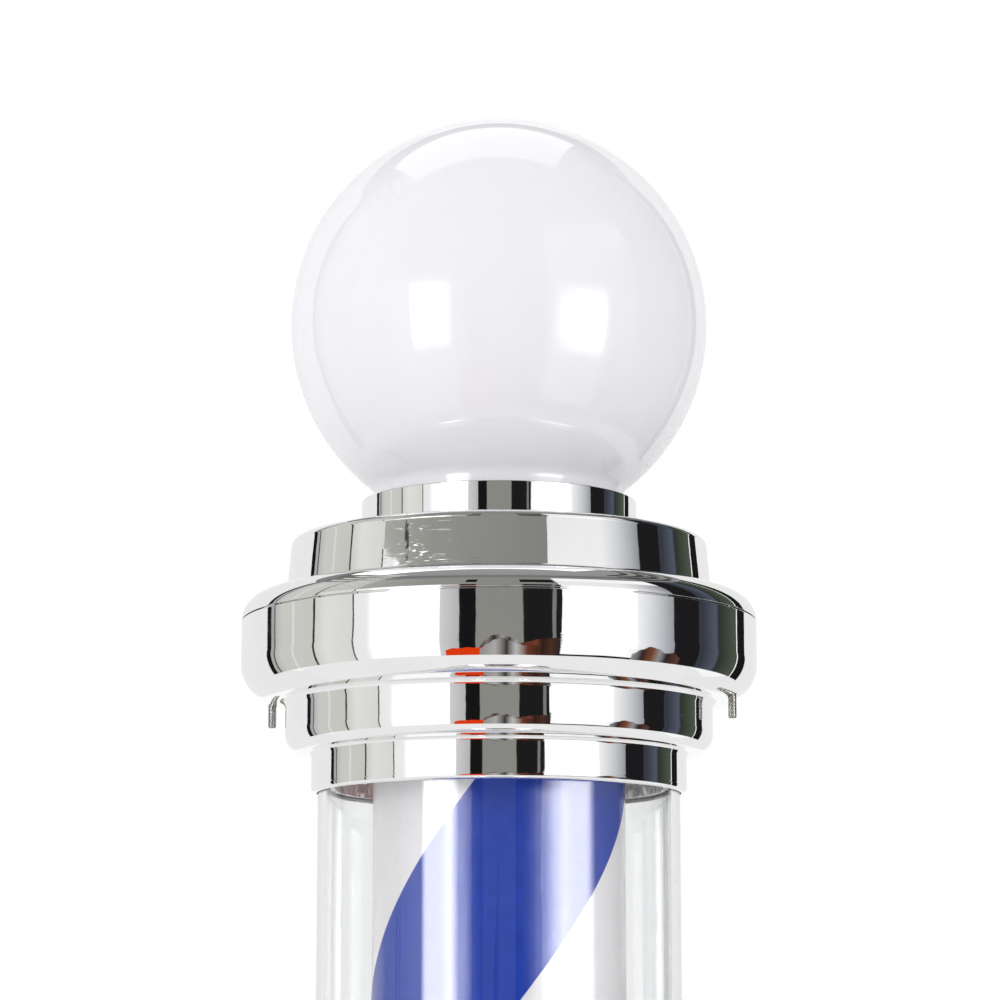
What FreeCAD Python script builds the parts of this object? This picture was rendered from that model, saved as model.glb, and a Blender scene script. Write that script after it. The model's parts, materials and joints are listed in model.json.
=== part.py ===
import FreeCAD, Part
import math
import os

# A wall-mounted barber pole light, in millimetres. +Z is up and the pole's front faces -Y.
# The origin is the centre of the wall rail's back face, level with the middle of the clear tube.
# Heights called "h" are counted from the plane near a cap's rim where the clear tube leaves it, into
# that cap. The lower cap is the upper cap turned over.

# ---- Driving dimensions -----------------------------------------------------------------------
GLOBE_R = 76.2
TUBE_R = 65.0
TUBE_WALL = 3.0
EXPOSED_TUBE = 340.0        # between the two caps' h = 0 planes
AXIS_TO_WALL = 110.0
SHELL = 2.5                 # wall of the chromed plastic shells
GAP = 0.2                   # ordinary clearance between neighbouring pieces
RUNNING = 0.05              # radial clearance of a running fit
THREAD_GAP = 0.02           # radial clearance between a screw and its threaded hole
PAST = 1.0                  # how far a cut runs past the face that it opens

# Steps of a cap: radius, and heights from the rim
RIM_LOW = -0.8
TIER4_R, TIER4_TOP, TIER4_FILLET = 67.5, 13.5, 1.6
TIER3_R, TIER3_ROUND, TIER3_TOP = 77.0, 7.0, 32.0
WIDE_R, WIDE_ROUND, SEAM = 93.0, 13.5, 61.0
SEAM_GAP = 0.4
SHOULDER_ROUND, SHOULDER_TOP = 9.2, 70.3
TIER1_FOOT_R, TIER1_HEAD_R, TIER1_TOP = 77.0, 75.4, 90.5
TIER1_FILLET, TIER1_ROUND = 0.6, 2.3
LIP_IN_R, LIP_DEPTH = 89.2, 3.5             # the lid's lip, which sits inside the body
LID_OPENING_R = 40.0

# Collar, globe and the dome that takes their place on the lower cap
COLLAR_R, COLLAR_TOP, COLLAR_EDGE = 50.0, 105.2, 0.5
COLLAR_NECK_R, COLLAR_FLANGE_R, COLLAR_STEP, COLLAR_INNER_EDGE = 45.5, 46.8, 94.8, 0.8
GLOBE_CENTRE, GLOBE_WALL = 171.2, 2.5
GLOBE_NECK_R, GLOBE_BLEND = 45.2, 5.0       # the neck, and the hollow curve that joins it to the ball
GLOBE_FLANGE_R, GLOBE_FOOT, GLOBE_FLANGE = 46.6, 92.4, 2.0
GASKET_IN_R, GASKET_TOP = 42.0, 92.3
DOME_STEP, DOME_EDGE, DOME_WALL = 98.0, 1.5, 2.0
DOME_R, DOME_TOP = 44.0, 113.0
SPIGOT_DEPTH = 4.0

# Fasteners: shank radius, head radius, head height
M2 = (1.0, 1.9, 1.3)
M3 = (1.5, 2.75, 1.8)
M4 = (2.0, 3.5, 2.0)
HEAD_EDGE = 0.45            # rounding of a head's rim, as a share of the head's height
M3_NUT_FLATS, M3_NUT_THICK = 5.5, 2.4
M4_NUT_FLATS, M4_NUT_THICK = 7.0, 3.2

# Lid screws, which hang out below the wide step
LID_SCREW_R, LID_SCREW_ANGLES = 84.7, (-11.6, 168.4)
LID_SCREW_SEAT, LID_SCREW_TIP = 65.0, 25.0
LID_BOSS_R, NUT_SEAT = 4.4, 56.0

# Bearing plates, with a flange that stands inside the tube, and the threaded centre tube
PLATE_H, PLATE_THICK, PLATE_R = 24.0, 1.5, 73.9
PLATE_SCREW_R, PLATE_SCREW_ANGLES, PLATE_SCREW_GRIP = 70.0, (30, 150, 270), 6.5
PLATE_BOSS_R, PLATE_HOLE_DEPTH = 3.4, 7.0
FLANGE_R, FLANGE_WALL, FLANGE_LOW = 60.7, 1.0, 0.5
VENT_R, VENT_CIRCLE_R, VENTS = 5.0, 32.0, 8
TUBE_END, SEAL_THICK, SEAL_INNER_LIP = 22.0, 2.0, 1.0
CENTRE_R, CENTRE_BORE_R, CENTRE_END, CENTRE_HOLE_GAP = 5.0, 3.5, 34.0, 0.1
CENTRE_NUT_FLATS, CENTRE_NUT_THICK = 14.0, 4.0
WASHER_R, WASHER_THICK = 9.0, 1.2

# Turning drum
DRUM_R, DRUM_WALL, DRUM_END = 45.3, 0.8, 8.0
STRIPE_PITCH, STRIPE_HEIGHT = 370.0, 95.6
STRIPE_THICK, STRIPE_STAND_OFF = 0.2, 0.05
STRIPE_FRONT_Z = EXPOSED_TUBE / 2 - 84.1   # lower edge of the blue stripe at the front
HUB_R, HUB_WEB, HUB_RIM, HUB_RIM_WALL, HUB_MIDDLE_R = 44.3, 4.0, 6.0, 3.0, 18.0
SPOKES, SPOKE_WIDTH, SPOKE_OVERLAP = 5, 9.0, 1.0
BUSH_R, BUSH_FLANGE_R, BUSH_FLANGE = 8.0, 9.0, 1.5
BUSH_FLANGE_H = 15.6

# Gear drive
MODULE = 1.0
GEAR_TEETH, PINION_TEETH = 70, 20
GEAR_FACE_H, GEAR_FACE = 9.5, 5.5
GEAR_BOSS_R = 26.0
GEAR_OPENINGS, GEAR_OPENING_R, GEAR_OPENING_CIRCLE_R = 6, 6.0, 25.0
GEAR_SCREW_R, GEAR_SCREW_ANGLES, GEAR_SCREW_GRIP = 13.5, (60, 180, 300), 3.5
PINION_FACE_H, PINION_FACE = 9.0, 6.5
PINION_BOSS_R, PINION_TO_PLATE = 6.0, 3.0
PRESSURE_ANGLE = math.radians(20)
BACKLASH = 0.16
DEDENDUM = 1.25             # depth of a tooth below the pitch circle, in modules
FLANK_STEPS = 4
SHAFT_R, SHAFT_HOLE_R, SHAFT_IN_MOTOR = 3.5, 7.0, 8.0
MOTOR_R, MOTOR_THICK, MOTOR_EDGE = 25.0, 20.0, 1.5
MOTOR_EAR, MOTOR_EAR_R, MOTOR_EAR_THICK = 28.5, 5.0, 1.5

# Light inside the drum
CARRIER_WIDTH, CARRIER_LENGTH, CARRIER_EDGE = 18.0, 300.0, 1.0
BOARD_WIDTH, BOARD_THICK, BOARD_LENGTH = 12.0, 1.2, 290.0
CHIP_SIZE, CHIP_THICK, CHIPS_PER_BOARD = 5.0, 1.6, 14

# Globe lamp, its holder and its bracket
LAMP_FOOT = 100.0
CONTACT_R, CONTACT_CONE = 5.0, 5.0
LAMP_CAP_R, LAMP_CAP_HIGH = 13.2, 27.0
LAMP_NECK_R, LAMP_NECK_HIGH = 17.0, 6.0
LAMP_CONE_R, LAMP_CONE_HIGH = 28.5, 32.0
LAMP_DOME_R = 30.0
HOLDER_FOOT_R, HOLDER_WAIST_R, HOLDER_R, HOLDER_BORE_R = 15.0, 17.5, 19.0, 14.0
HOLDER_FLOOR, HOLDER_WAIST, HOLDER_TOP = -6.0, -4.0, 22.0    # heights from the lamp's foot
BRACKET_LENGTH, BRACKET_WIDTH, BRACKET_THICK = 93.0, 18.0, 1.5
BRACKET_SCREW_X = (-43.5, 43.5)
COLLAR_SCREW_R, COLLAR_SCREW_ANGLES, COLLAR_SCREW_COVER = 48.5, (90, 210, 330), 5.0
WIRE_HOLE_R = 3.6

# Wall rail and arms
RAIL_WIDTH, RAIL_LENGTH, RAIL_WEB, RAIL_FLANGE = 60.0, 490.0, 3.0, 10.0
RAIL_HOLE_R, RAIL_HOLE_X, RAIL_HOLE_Z = 2.75, 18.0, 130.0
ARM_WIDTH, ARM_THICK, SADDLE_GAP = 46.0, 2.5, 0.15
ARM_LOW, ARM_FLANGE_TOP, ARM_BACK_TOP = 45.5, 60.0, 73.0
SHELF_OVERLAP = 10.0
CAP_SCREW_H, CAP_SCREW_ANGLES, CAP_SCREW_REACH = 52.5, (81.0, 99.0), 8.0
RAIL_SCREW_H, RAIL_SCREW_X, RAIL_SCREW_LENGTH = 66.0, 14.0, 5.2

# Rocker switches under the bottom cap
SWITCH_R, SWITCH_ANGLES = 62.0, {"light": -112.0, "spin": -68.0}
ROCKER_TILT = 10.0
ROCKER_PIVOT_H = 90.0
ROCKER_HALF_WIDTH, ROCKER_PIN_R, ROCKER_PIN_PAST = 4.4, 0.9, 1.0
ROCKER_CORNERS = [(-4.5, -5), (4.5, -5), (6.8, 0), (6.8, 2.6), (0, 1.1), (-6.8, 2.6), (-6.8, 0)]
BEZEL_X, BEZEL_Y, BEZEL_THICK, BEZEL_EDGE = 10.5, 7.5, 1.6, 0.7
HOUSING_X, HOUSING_Y, HOUSING_DEPTH = 9.3, 6.3, 14.0
WELL_X, WELL_Y, WELL_FLOOR = 7.7, 4.7, -6.6
PIN_BORE_LENGTH = 11.2

# Electrical pieces in the lower cap
DRIVER_X, DRIVER_Y, DRIVER_HIGH, DRIVER_EDGE = (-60, -30), (-22, 22), 20.0, 1.5
TERMINAL_BOX_X, TERMINAL_BOX_Y, TERMINAL_HIGH = (-15, 15), (35, 49), 13.0
TERMINAL_X, TERMINAL_SCREW_Y, TERMINAL_SCREW_R, TERMINAL_SCREW_FLOOR = (-10, 0, 10), 38.5, 1.8, 8.0
TERMINAL_INLET_X, TERMINAL_INLET_Y, TERMINAL_INLET_FLOOR = 3.5, (43.5, 47.5), 9.0

# Cable gland, measured out from the pole's axis
GLAND_THREAD_R, GLAND_BORE_R, GLAND_H = 5.8, 3.5, 80.0
GLAND_IN, GLAND_SEAT, GLAND_HEX_OUT, GLAND_NOSE, GLAND_OUT = 68.0, 77.0, 81.5, 88.0, 91.0
GLAND_FLATS, GLAND_NOSE_R, GLAND_TIP_R = 14.0, 7.0, 5.4
GLAND_NUT_IN, GLAND_NUT_THICK = 69.0, 3.0

# Derived sizes
RIM_Z = EXPOSED_TUBE / 2
MOTOR_X = MODULE * (GEAR_TEETH + PINION_TEETH) / 2
WIDE_IN_R = WIDE_R - SHELL
SADDLE_IN = WIDE_R + SADDLE_GAP
SADDLE_OUT = SADDLE_IN + ARM_THICK
TUBE_HOLE_R = TUBE_R + 0.3
PLATE_BACK = PLATE_H + PLATE_THICK
ROOF = TIER1_TOP - SHELL
LAMP_CONE_LOW = LAMP_FOOT + LAMP_CAP_HIGH

# Wires, as corners in the pole's frame. Each ends just inside the piece that it serves.
LEAD_R = 1.6
BEND_SHARE = 0.45           # how much of a straight run a bend may use
LEAD_IN_BORE = 1.75         # the wires' distance from the axis, side by side in the centre tube
WIRE_SLOT_Z = (-RIM_Z + 4, -RIM_Z + 18)
WIRE_SLOT_HALF = 2.0
BLOCK_Z = -RIM_Z - PLATE_BACK - 9.2
DRIVER_LID_Z = -RIM_Z - PLATE_BACK - DRIVER_HIGH
LOOP_Z = -RIM_Z - 62
LAMP_LEAD = [
    (LEAD_IN_BORE, 0, RIM_Z + LAMP_FOOT - 8),
    (LEAD_IN_BORE, 0, LOOP_Z),
    (0, 45.5, LOOP_Z),
    (0, 45.5, BLOCK_Z),
]
LED_LEAD = [
    (-10.9, 0, -BOARD_LENGTH / 2 - 0.2),
    (-10.9, 0, -RIM_Z + 17),
    (-LEAD_IN_BORE, 0, -RIM_Z + 8),
    (-LEAD_IN_BORE, 0, -RIM_Z - 52),
    (-45, 0, -RIM_Z - 56),
    (-45, 0, DRIVER_LID_Z),
]
MOTOR_LEAD = [
    (48, 14, -RIM_Z - PLATE_BACK - MOTOR_THICK),
    (48, 14, -RIM_Z - 58),
    (10, 45.5, -RIM_Z - 58),
    (10, 45.5, BLOCK_Z),
]

POLE_AXIS = FreeCAD.Vector(0, -AXIS_TO_WALL, 0)
ORIGIN = FreeCAD.Vector(0, 0, 0)
ACROSS = FreeCAD.Vector(1, 0, 0)
BACKWARD = FreeCAD.Vector(0, 1, 0)
UP = FreeCAD.Vector(0, 0, 1)


# ---- Shape helpers ----------------------------------------------------------------------------
class Outline:
    """An outline of radius and height, drawn edge by edge and turned about the pole's axis."""

    def __init__(self, r, h):
        self.first = FreeCAD.Vector(r, 0, h)
        self.last = self.first
        self.edges = []

    def line(self, r, h):
        end = FreeCAD.Vector(r, 0, h)
        self.edges.append(Part.LineSegment(self.last, end).toShape())
        self.last = end
        return self

    def arc(self, centre_r, centre_h, r, h):
        """The shorter arc about a centre to (r, h)."""
        centre = FreeCAD.Vector(centre_r, 0, centre_h)
        end = FreeCAD.Vector(r, 0, h)
        towards = ((self.last + end) * 0.5 - centre).normalize()
        middle = centre + towards * (self.last - centre).Length
        self.edges.append(Part.Arc(self.last, middle, end).toShape())
        self.last = end
        return self

    def turned(self):
        if (self.last - self.first).Length > 1e-6:
            self.line(self.first.x, self.first.z)
        face = Part.Face(Part.Wire(self.edges))
        return face.revolve(ORIGIN, UP, 360)


def rod(r, low, high, x=0.0, y=0.0):
    """An upright cylinder."""
    return Part.makeCylinder(r, high - low, FreeCAD.Vector(x, y, low))


def ring(outer_r, inner_r, low, high):
    return rod(outer_r, low, high).cut(rod(inner_r, low - PAST, high + PAST))


def cross_rod(r, length, start, axis):
    """A cylinder that lies along an axis, from its start."""
    return Part.makeCylinder(r, length, FreeCAD.Vector(*start), axis)


def block(x, y, z):
    """A box between the two values given for each axis."""
    size = [high - low for low, high in (x, y, z)]
    return Part.makeBox(*size, FreeCAD.Vector(x[0], y[0], z[0]))


def hex_rod(flats, low, high):
    corner = flats / math.sqrt(3)
    points = [polar(corner, 60 * i, low) for i in range(7)]
    return Part.Face(Part.makePolygon(points)).extrude(FreeCAD.Vector(0, 0, high - low))


def polar(r, degrees, z=0.0):
    angle = math.radians(degrees)
    return FreeCAD.Vector(r * math.cos(angle), r * math.sin(angle), z)


def turned_by(shape, degrees, centre=ORIGIN, axis=UP):
    copy = shape.copy()
    copy.rotate(centre, axis, degrees)
    return copy


def moved(shape, x=0.0, y=0.0, z=0.0):
    copy = shape.copy()
    copy.translate(FreeCAD.Vector(x, y, z))
    return copy


def radial(shape, degrees, h):
    """A shape drawn along +Z is laid down, so that +Z becomes outward at this angle and height."""
    laid = turned_by(shape, 90, ORIGIN, BACKWARD)
    return moved(turned_by(laid, degrees), z=h)


def screw(size, seat, tip):
    """A pan-head screw along Z, its head's seat at one height and its tip at the other."""
    shank_r, head_r, head = size
    sign = 1 if seat > tip else -1
    low, high = sorted((seat, tip))
    head_low, head_high = sorted((seat, seat + sign * head))
    body = rod(shank_r, low, high).fuse(rod(head_r, head_low, head_high)).removeSplitter()
    rim = [edge for edge in body.Edges if is_circle(edge, head_r, seat + sign * head)]
    return body.makeFillet(head * HEAD_EDGE, rim)


def is_circle(edge, r, z):
    """Whether an edge is the circle of this radius at this height."""
    if not isinstance(edge.Curve, Part.Circle):
        return False
    return abs(edge.Curve.Radius - r) < 1e-6 and abs(edge.Curve.Center.z - z) < 1e-6


def nut(flats, thick, bore_r, low):
    return hex_rod(flats, low, low + thick).cut(rod(bore_r, low - PAST, low + thick + PAST))


def lead(points, r):
    """A wire of radius r: straight runs joined by arcs that touch them, as large as the runs allow."""
    points = [FreeCAD.Vector(*p) for p in points]
    edges = []
    start = points[0]
    for before, corner, after in zip(points, points[1:], points[2:]):
        inward = (before - corner).normalize()
        outward = (after - corner).normalize()
        setback = BEND_SHARE * min((before - corner).Length, (after - corner).Length)
        half_turn = (math.pi - inward.getAngle(outward)) / 2
        radius = setback / math.tan(half_turn)
        first = corner + inward * setback
        last = corner + outward * setback
        bisector = (inward + outward).normalize()
        centre = corner + bisector * (radius / math.cos(half_turn))
        middle = centre - bisector * radius
        edges.append(Part.LineSegment(start, first).toShape())
        edges.append(Part.Arc(first, middle, last).toShape())
        start = last
    edges.append(Part.LineSegment(start, points[-1]).toShape())
    direction = (points[1] - points[0]).normalize()
    section = Part.Wire(Part.makeCircle(r, points[0], direction))
    return Part.Wire(edges).makePipeShell([section], True, False)


def in_upper_cap(shape):
    """From heights above the rim to the pole's own frame."""
    return moved(shape, z=RIM_Z)


def in_lower_cap(shape):
    return in_upper_cap(shape).mirror(ORIGIN, UP)


def in_both_caps(shape):
    return [in_upper_cap(shape), in_lower_cap(shape)]


def save(name, *shapes, on_pole=True):
    """Writes one node: one solid, or several separate ones."""
    solids = [solid for shape in shapes for solid in shape.Solids]
    node = solids[0].copy() if len(solids) == 1 else Part.makeCompound(solids)
    if on_pole:
        node.translate(POLE_AXIS)
    assert node.isValid() and solids, name
    node.exportStep(f"parts/{name}.step")
    print(f"{name}: {len(solids)} solid(s), {node.Volume:.0f} mm3")


# ---- Chromed shells ---------------------------------------------------------------------------
def body_filled(inset):
    """The lower shell of a cap without its hollow, each face moved inwards by inset."""
    tier3 = TIER3_R - inset
    wide = WIDE_R - inset
    wide_centre_r = WIDE_R - WIDE_ROUND
    wide_centre_h = TIER3_TOP + WIDE_ROUND
    tier3_centre_r = TIER3_R - TIER3_ROUND
    tier3_centre_h = TIER4_TOP + TIER3_ROUND
    top = SEAM - SEAM_GAP / 2
    if inset:
        outline = Outline(0, TIER4_TOP + inset)
        outline.line(tier3_centre_r, TIER4_TOP + inset)
    else:
        bead_h = RIM_LOW + TIER4_R - TUBE_HOLE_R
        fillet_r = TIER4_R + TIER4_FILLET
        fillet_h = TIER4_TOP - TIER4_FILLET
        outline = Outline(0, RIM_LOW).line(TUBE_HOLE_R, RIM_LOW)
        outline.arc(TUBE_HOLE_R, bead_h, TIER4_R, bead_h)
        outline.line(TIER4_R, fillet_h).arc(fillet_r, fillet_h, fillet_r, TIER4_TOP)
        outline.line(tier3_centre_r, TIER4_TOP)
    outline.arc(tier3_centre_r, tier3_centre_h, tier3, tier3_centre_h)
    if inset:
        outline.line(tier3, TIER3_TOP + inset).line(wide_centre_r, TIER3_TOP + inset)
    else:
        fillet_h = TIER3_TOP - (wide_centre_r - TIER3_R)
        outline.line(TIER3_R, fillet_h).arc(wide_centre_r, fillet_h, wide_centre_r, TIER3_TOP)
    outline.arc(wide_centre_r, wide_centre_h, wide, wide_centre_h)
    return outline.line(wide, top + inset).line(0, top + inset).turned()


def cap_body():
    """Tiers 4 and 3 and the wide step up to the seam, with bosses for the lid and plate screws."""
    outer = body_filled(0)
    hollow = body_filled(SHELL)
    shell = outer.cut(hollow).cut(rod(TUBE_HOLE_R, RIM_LOW - PAST, TIER4_TOP + 2 * SHELL))
    for degrees in LID_SCREW_ANGLES:
        x, y = polar(LID_SCREW_R, degrees)[:2]
        boss = rod(LID_BOSS_R, TIER3_TOP - PAST, SEAM - SEAM_GAP / 2, x, y).common(outer)
        pocket = moved(hex_rod(M3_NUT_FLATS + GAP, NUT_SEAT, SEAM), x, y)
        shell = shell.fuse(boss).cut(rod(M3[0] + GAP, 0, SEAM, x, y)).cut(pocket)
    for degrees in PLATE_SCREW_ANGLES:
        x, y = polar(PLATE_SCREW_R, degrees)[:2]
        boss = rod(PLATE_BOSS_R, TIER4_TOP + 1, PLATE_H, x, y).common(outer)
        hole = rod(M3[0] + THREAD_GAP, PLATE_H - PLATE_HOLE_DEPTH, PLATE_H + PAST, x, y)
        shell = shell.fuse(boss).cut(hole)
    for degrees in CAP_SCREW_ANGLES:
        hole = rod(M4[0] + GAP, WIDE_IN_R - PAST, WIDE_R + PAST)
        shell = shell.cut(radial(hole, degrees, CAP_SCREW_H))
    return shell.removeSplitter()


def cap_lid():
    """The shoulder and tier 1 above the seam, open in the middle, with a lip that fits the body."""
    seam = SEAM + SEAM_GAP / 2
    lip_out_r = WIDE_IN_R - GAP
    round_r = WIDE_R - SHOULDER_ROUND
    round_h = SHOULDER_TOP - SHOULDER_ROUND
    inner_round = SHOULDER_ROUND - SHELL
    lip_top = round_h + math.sqrt(inner_round ** 2 - (LIP_IN_R - round_r) ** 2)
    fillet_r = TIER1_FOOT_R + TIER1_FILLET
    fillet_h = SHOULDER_TOP + TIER1_FILLET
    head_r = TIER1_HEAD_R - TIER1_ROUND
    head_h = TIER1_TOP - TIER1_ROUND
    outline = Outline(WIDE_R, seam)
    outline.arc(round_r, round_h, round_r, SHOULDER_TOP)
    outline.line(fillet_r, SHOULDER_TOP).arc(fillet_r, fillet_h, TIER1_FOOT_R, fillet_h)
    outline.line(TIER1_HEAD_R, head_h).arc(head_r, head_h, head_r, TIER1_TOP)
    outline.line(LID_OPENING_R, TIER1_TOP).line(LID_OPENING_R, ROOF)
    outline.line(TIER1_HEAD_R - SHELL, ROOF)
    outline.line(TIER1_FOOT_R - SHELL, SHOULDER_TOP - SHELL)
    outline.line(round_r, SHOULDER_TOP - SHELL).arc(round_r, round_h, LIP_IN_R, lip_top)
    outline.line(LIP_IN_R, SEAM - LIP_DEPTH).line(lip_out_r, SEAM - LIP_DEPTH).line(lip_out_r, seam)
    shell = outline.turned()
    for degrees in LID_SCREW_ANGLES:
        x, y = polar(LID_SCREW_R, degrees)[:2]
        boss = rod(LID_BOSS_R, seam + GAP, SHOULDER_TOP - SHELL + PAST, x, y)
        hole = rod(M3[0] + GAP, SEAM - LIP_DEPTH - PAST, SHOULDER_TOP + PAST, x, y)
        counterbore = rod(M3[1] + GAP, LID_SCREW_SEAT, SHOULDER_TOP + PAST, x, y)
        shell = shell.fuse(boss).cut(hole).cut(counterbore)
    return shell.removeSplitter()


def top_lid():
    """The upper cap's lid, drilled for the collar's and the lamp bracket's screws."""
    lid = cap_lid()
    for degrees in COLLAR_SCREW_ANGLES:
        x, y = polar(COLLAR_SCREW_R, degrees)[:2]
        lid = lid.cut(rod(M2[0] + GAP, ROOF - PAST, TIER1_TOP + PAST, x, y))
    for x in BRACKET_SCREW_X:
        lid = lid.cut(rod(M3[0] + THREAD_GAP, ROOF - PAST, TIER1_TOP + PAST, x))
    return lid


def globe_collar():
    """The ring that holds the globe's flange down on its gasket."""
    edge_r = COLLAR_R - COLLAR_EDGE
    edge_h = COLLAR_TOP - COLLAR_EDGE
    inner_edge_r = COLLAR_NECK_R + COLLAR_INNER_EDGE
    inner_edge_h = COLLAR_TOP - COLLAR_INNER_EDGE
    outline = Outline(COLLAR_R, TIER1_TOP)
    outline.line(COLLAR_R, edge_h).arc(edge_r, edge_h, edge_r, COLLAR_TOP)
    outline.line(inner_edge_r, COLLAR_TOP).arc(inner_edge_r, inner_edge_h, COLLAR_NECK_R, inner_edge_h)
    outline.line(COLLAR_NECK_R, COLLAR_STEP).line(COLLAR_FLANGE_R, COLLAR_STEP)
    outline.line(COLLAR_FLANGE_R, TIER1_TOP)
    collar = outline.turned()
    hole_top = COLLAR_TOP - COLLAR_SCREW_COVER + PAST
    for degrees in COLLAR_SCREW_ANGLES:
        x, y = polar(COLLAR_SCREW_R, degrees)[:2]
        collar = collar.cut(rod(M2[0] + THREAD_GAP, TIER1_TOP - PAST, hole_top, x, y))
    return collar


def bottom_dome():
    """The stepped dome that closes the lower cap, with a spigot in the lid's opening."""
    rise = DOME_TOP - DOME_STEP
    sphere_r = (DOME_R ** 2 + rise ** 2) / (2 * rise)
    sphere_h = DOME_TOP - sphere_r
    inner_r = sphere_r - DOME_WALL
    inner_step = DOME_STEP - DOME_WALL
    inner_edge_r = math.sqrt(inner_r ** 2 - (inner_step - sphere_h) ** 2)
    edge_r = COLLAR_R - DOME_EDGE
    edge_h = DOME_STEP - DOME_EDGE
    spigot_in_r = LID_OPENING_R - DOME_WALL
    spigot_top = sphere_h + math.sqrt(inner_r ** 2 - spigot_in_r ** 2) + DOME_WALL / 2
    outline = Outline(COLLAR_R, TIER1_TOP)
    outline.line(COLLAR_R, edge_h).arc(edge_r, edge_h, edge_r, DOME_STEP)
    outline.line(DOME_R, DOME_STEP).arc(0, sphere_h, 0, DOME_TOP)
    outline.line(0, DOME_TOP - DOME_WALL).arc(0, sphere_h, inner_edge_r, inner_step)
    outline.line(COLLAR_R - DOME_WALL, inner_step).line(COLLAR_R - DOME_WALL, TIER1_TOP)
    spigot = ring(LID_OPENING_R - GAP, spigot_in_r, TIER1_TOP - SPIGOT_DEPTH, spigot_top)
    return outline.turned().fuse(spigot).removeSplitter()


# ---- Globe and its lamp -----------------------------------------------------------------------
def globe():
    """A ball with a short neck and a flange at the neck's foot."""
    blend_r = GLOBE_NECK_R + GLOBE_BLEND
    blend_h = GLOBE_CENTRE - math.sqrt((GLOBE_R + GLOBE_BLEND) ** 2 - blend_r ** 2)
    share = GLOBE_R / (GLOBE_R + GLOBE_BLEND)
    join_h = GLOBE_CENTRE + (blend_h - GLOBE_CENTRE) * share
    inner_r = GLOBE_R - GLOBE_WALL
    inner_neck_r = GLOBE_NECK_R - GLOBE_WALL
    inner_join = GLOBE_CENTRE - math.sqrt(inner_r ** 2 - inner_neck_r ** 2)
    flange_top = GLOBE_FOOT + GLOBE_FLANGE
    outline = Outline(0, GLOBE_CENTRE + GLOBE_R)
    outline.arc(0, GLOBE_CENTRE, GLOBE_R, GLOBE_CENTRE).arc(0, GLOBE_CENTRE, blend_r * share, join_h)
    outline.arc(blend_r, blend_h, GLOBE_NECK_R, blend_h)
    outline.line(GLOBE_NECK_R, flange_top).line(GLOBE_FLANGE_R, flange_top)
    outline.line(GLOBE_FLANGE_R, GLOBE_FOOT).line(inner_neck_r, GLOBE_FOOT)
    outline.line(inner_neck_r, inner_join).arc(0, GLOBE_CENTRE, inner_r, GLOBE_CENTRE)
    outline.arc(0, GLOBE_CENTRE, 0, GLOBE_CENTRE + inner_r)
    return outline.turned()


def lamp_holder():
    """A screw lamp holder that stands on the bracket."""
    floor, waist, top = [LAMP_FOOT + h for h in (HOLDER_FLOOR, HOLDER_WAIST, HOLDER_TOP)]
    outline = Outline(WIRE_HOLE_R, ROOF)
    outline.line(HOLDER_FOOT_R, ROOF).line(HOLDER_WAIST_R, floor).line(HOLDER_R, waist)
    outline.line(HOLDER_R, top).line(HOLDER_BORE_R, top)
    outline.line(HOLDER_BORE_R, waist).line(WIRE_HOLE_R, floor)
    return outline.turned()


def lamp_cap():
    """The lamp's metal screw cap."""
    outline = Outline(0, LAMP_FOOT).line(CONTACT_R, LAMP_FOOT)
    outline.line(LAMP_CAP_R, LAMP_FOOT + CONTACT_CONE).line(LAMP_CAP_R, LAMP_CONE_LOW)
    return outline.line(0, LAMP_CONE_LOW).turned()


def lamp_body():
    """The lamp's cone between its cap and its envelope."""
    top = LAMP_CONE_LOW + LAMP_CONE_HIGH
    outline = Outline(0, LAMP_CONE_LOW).line(LAMP_CAP_R, LAMP_CONE_LOW)
    outline.line(LAMP_NECK_R, LAMP_CONE_LOW + LAMP_NECK_HIGH)
    return outline.line(LAMP_CONE_R, top).line(0, top).turned()


def lamp_envelope():
    """The lamp's frosted dome."""
    low = LAMP_CONE_LOW + LAMP_CONE_HIGH
    centre = low + math.sqrt(LAMP_DOME_R ** 2 - LAMP_CONE_R ** 2)
    outline = Outline(0, low).line(LAMP_CONE_R, low)
    outline.arc(0, centre, LAMP_DOME_R, centre).arc(0, centre, 0, centre + LAMP_DOME_R)
    return outline.turned()


def lamp_bracket():
    """A steel strip across the lid's opening that carries the lamp holder."""
    half_x = BRACKET_LENGTH / 2
    half_y = BRACKET_WIDTH / 2
    low = ROOF - BRACKET_THICK
    strip = block((-half_x, half_x), (-half_y, half_y), (low, ROOF))
    strip = strip.cut(rod(WIRE_HOLE_R, low - PAST, ROOF + PAST))
    for x in BRACKET_SCREW_X:
        strip = strip.cut(rod(M3[0] + GAP, low - PAST, ROOF + PAST, x))
    return strip


# ---- Plates, tube and centre ------------------------------------------------------------------
def plate():
    """A steel disc that holds the centre tube's end, with a flange that stands inside the clear tube."""
    low = PLATE_H - PAST
    high = PLATE_BACK + PAST
    flange = ring(FLANGE_R, FLANGE_R - FLANGE_WALL, FLANGE_LOW, PLATE_H)
    disc = rod(PLATE_R, PLATE_H, PLATE_BACK).fuse(flange)
    disc = disc.cut(rod(CENTRE_R + CENTRE_HOLE_GAP, low, high))
    for degrees in PLATE_SCREW_ANGLES:
        x, y = polar(PLATE_SCREW_R, degrees)[:2]
        disc = disc.cut(rod(M3[0] + GAP, low, high, x, y))
    return disc.removeSplitter()


def top_plate():
    """The upper plate also has a ring of vent holes for the lamp's warmth."""
    disc = plate()
    for i in range(VENTS):
        x, y = polar(VENT_CIRCLE_R, 360 * i / VENTS)[:2]
        disc = disc.cut(rod(VENT_R, PLATE_H - PAST, PLATE_BACK + PAST, x, y))
    return disc


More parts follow.
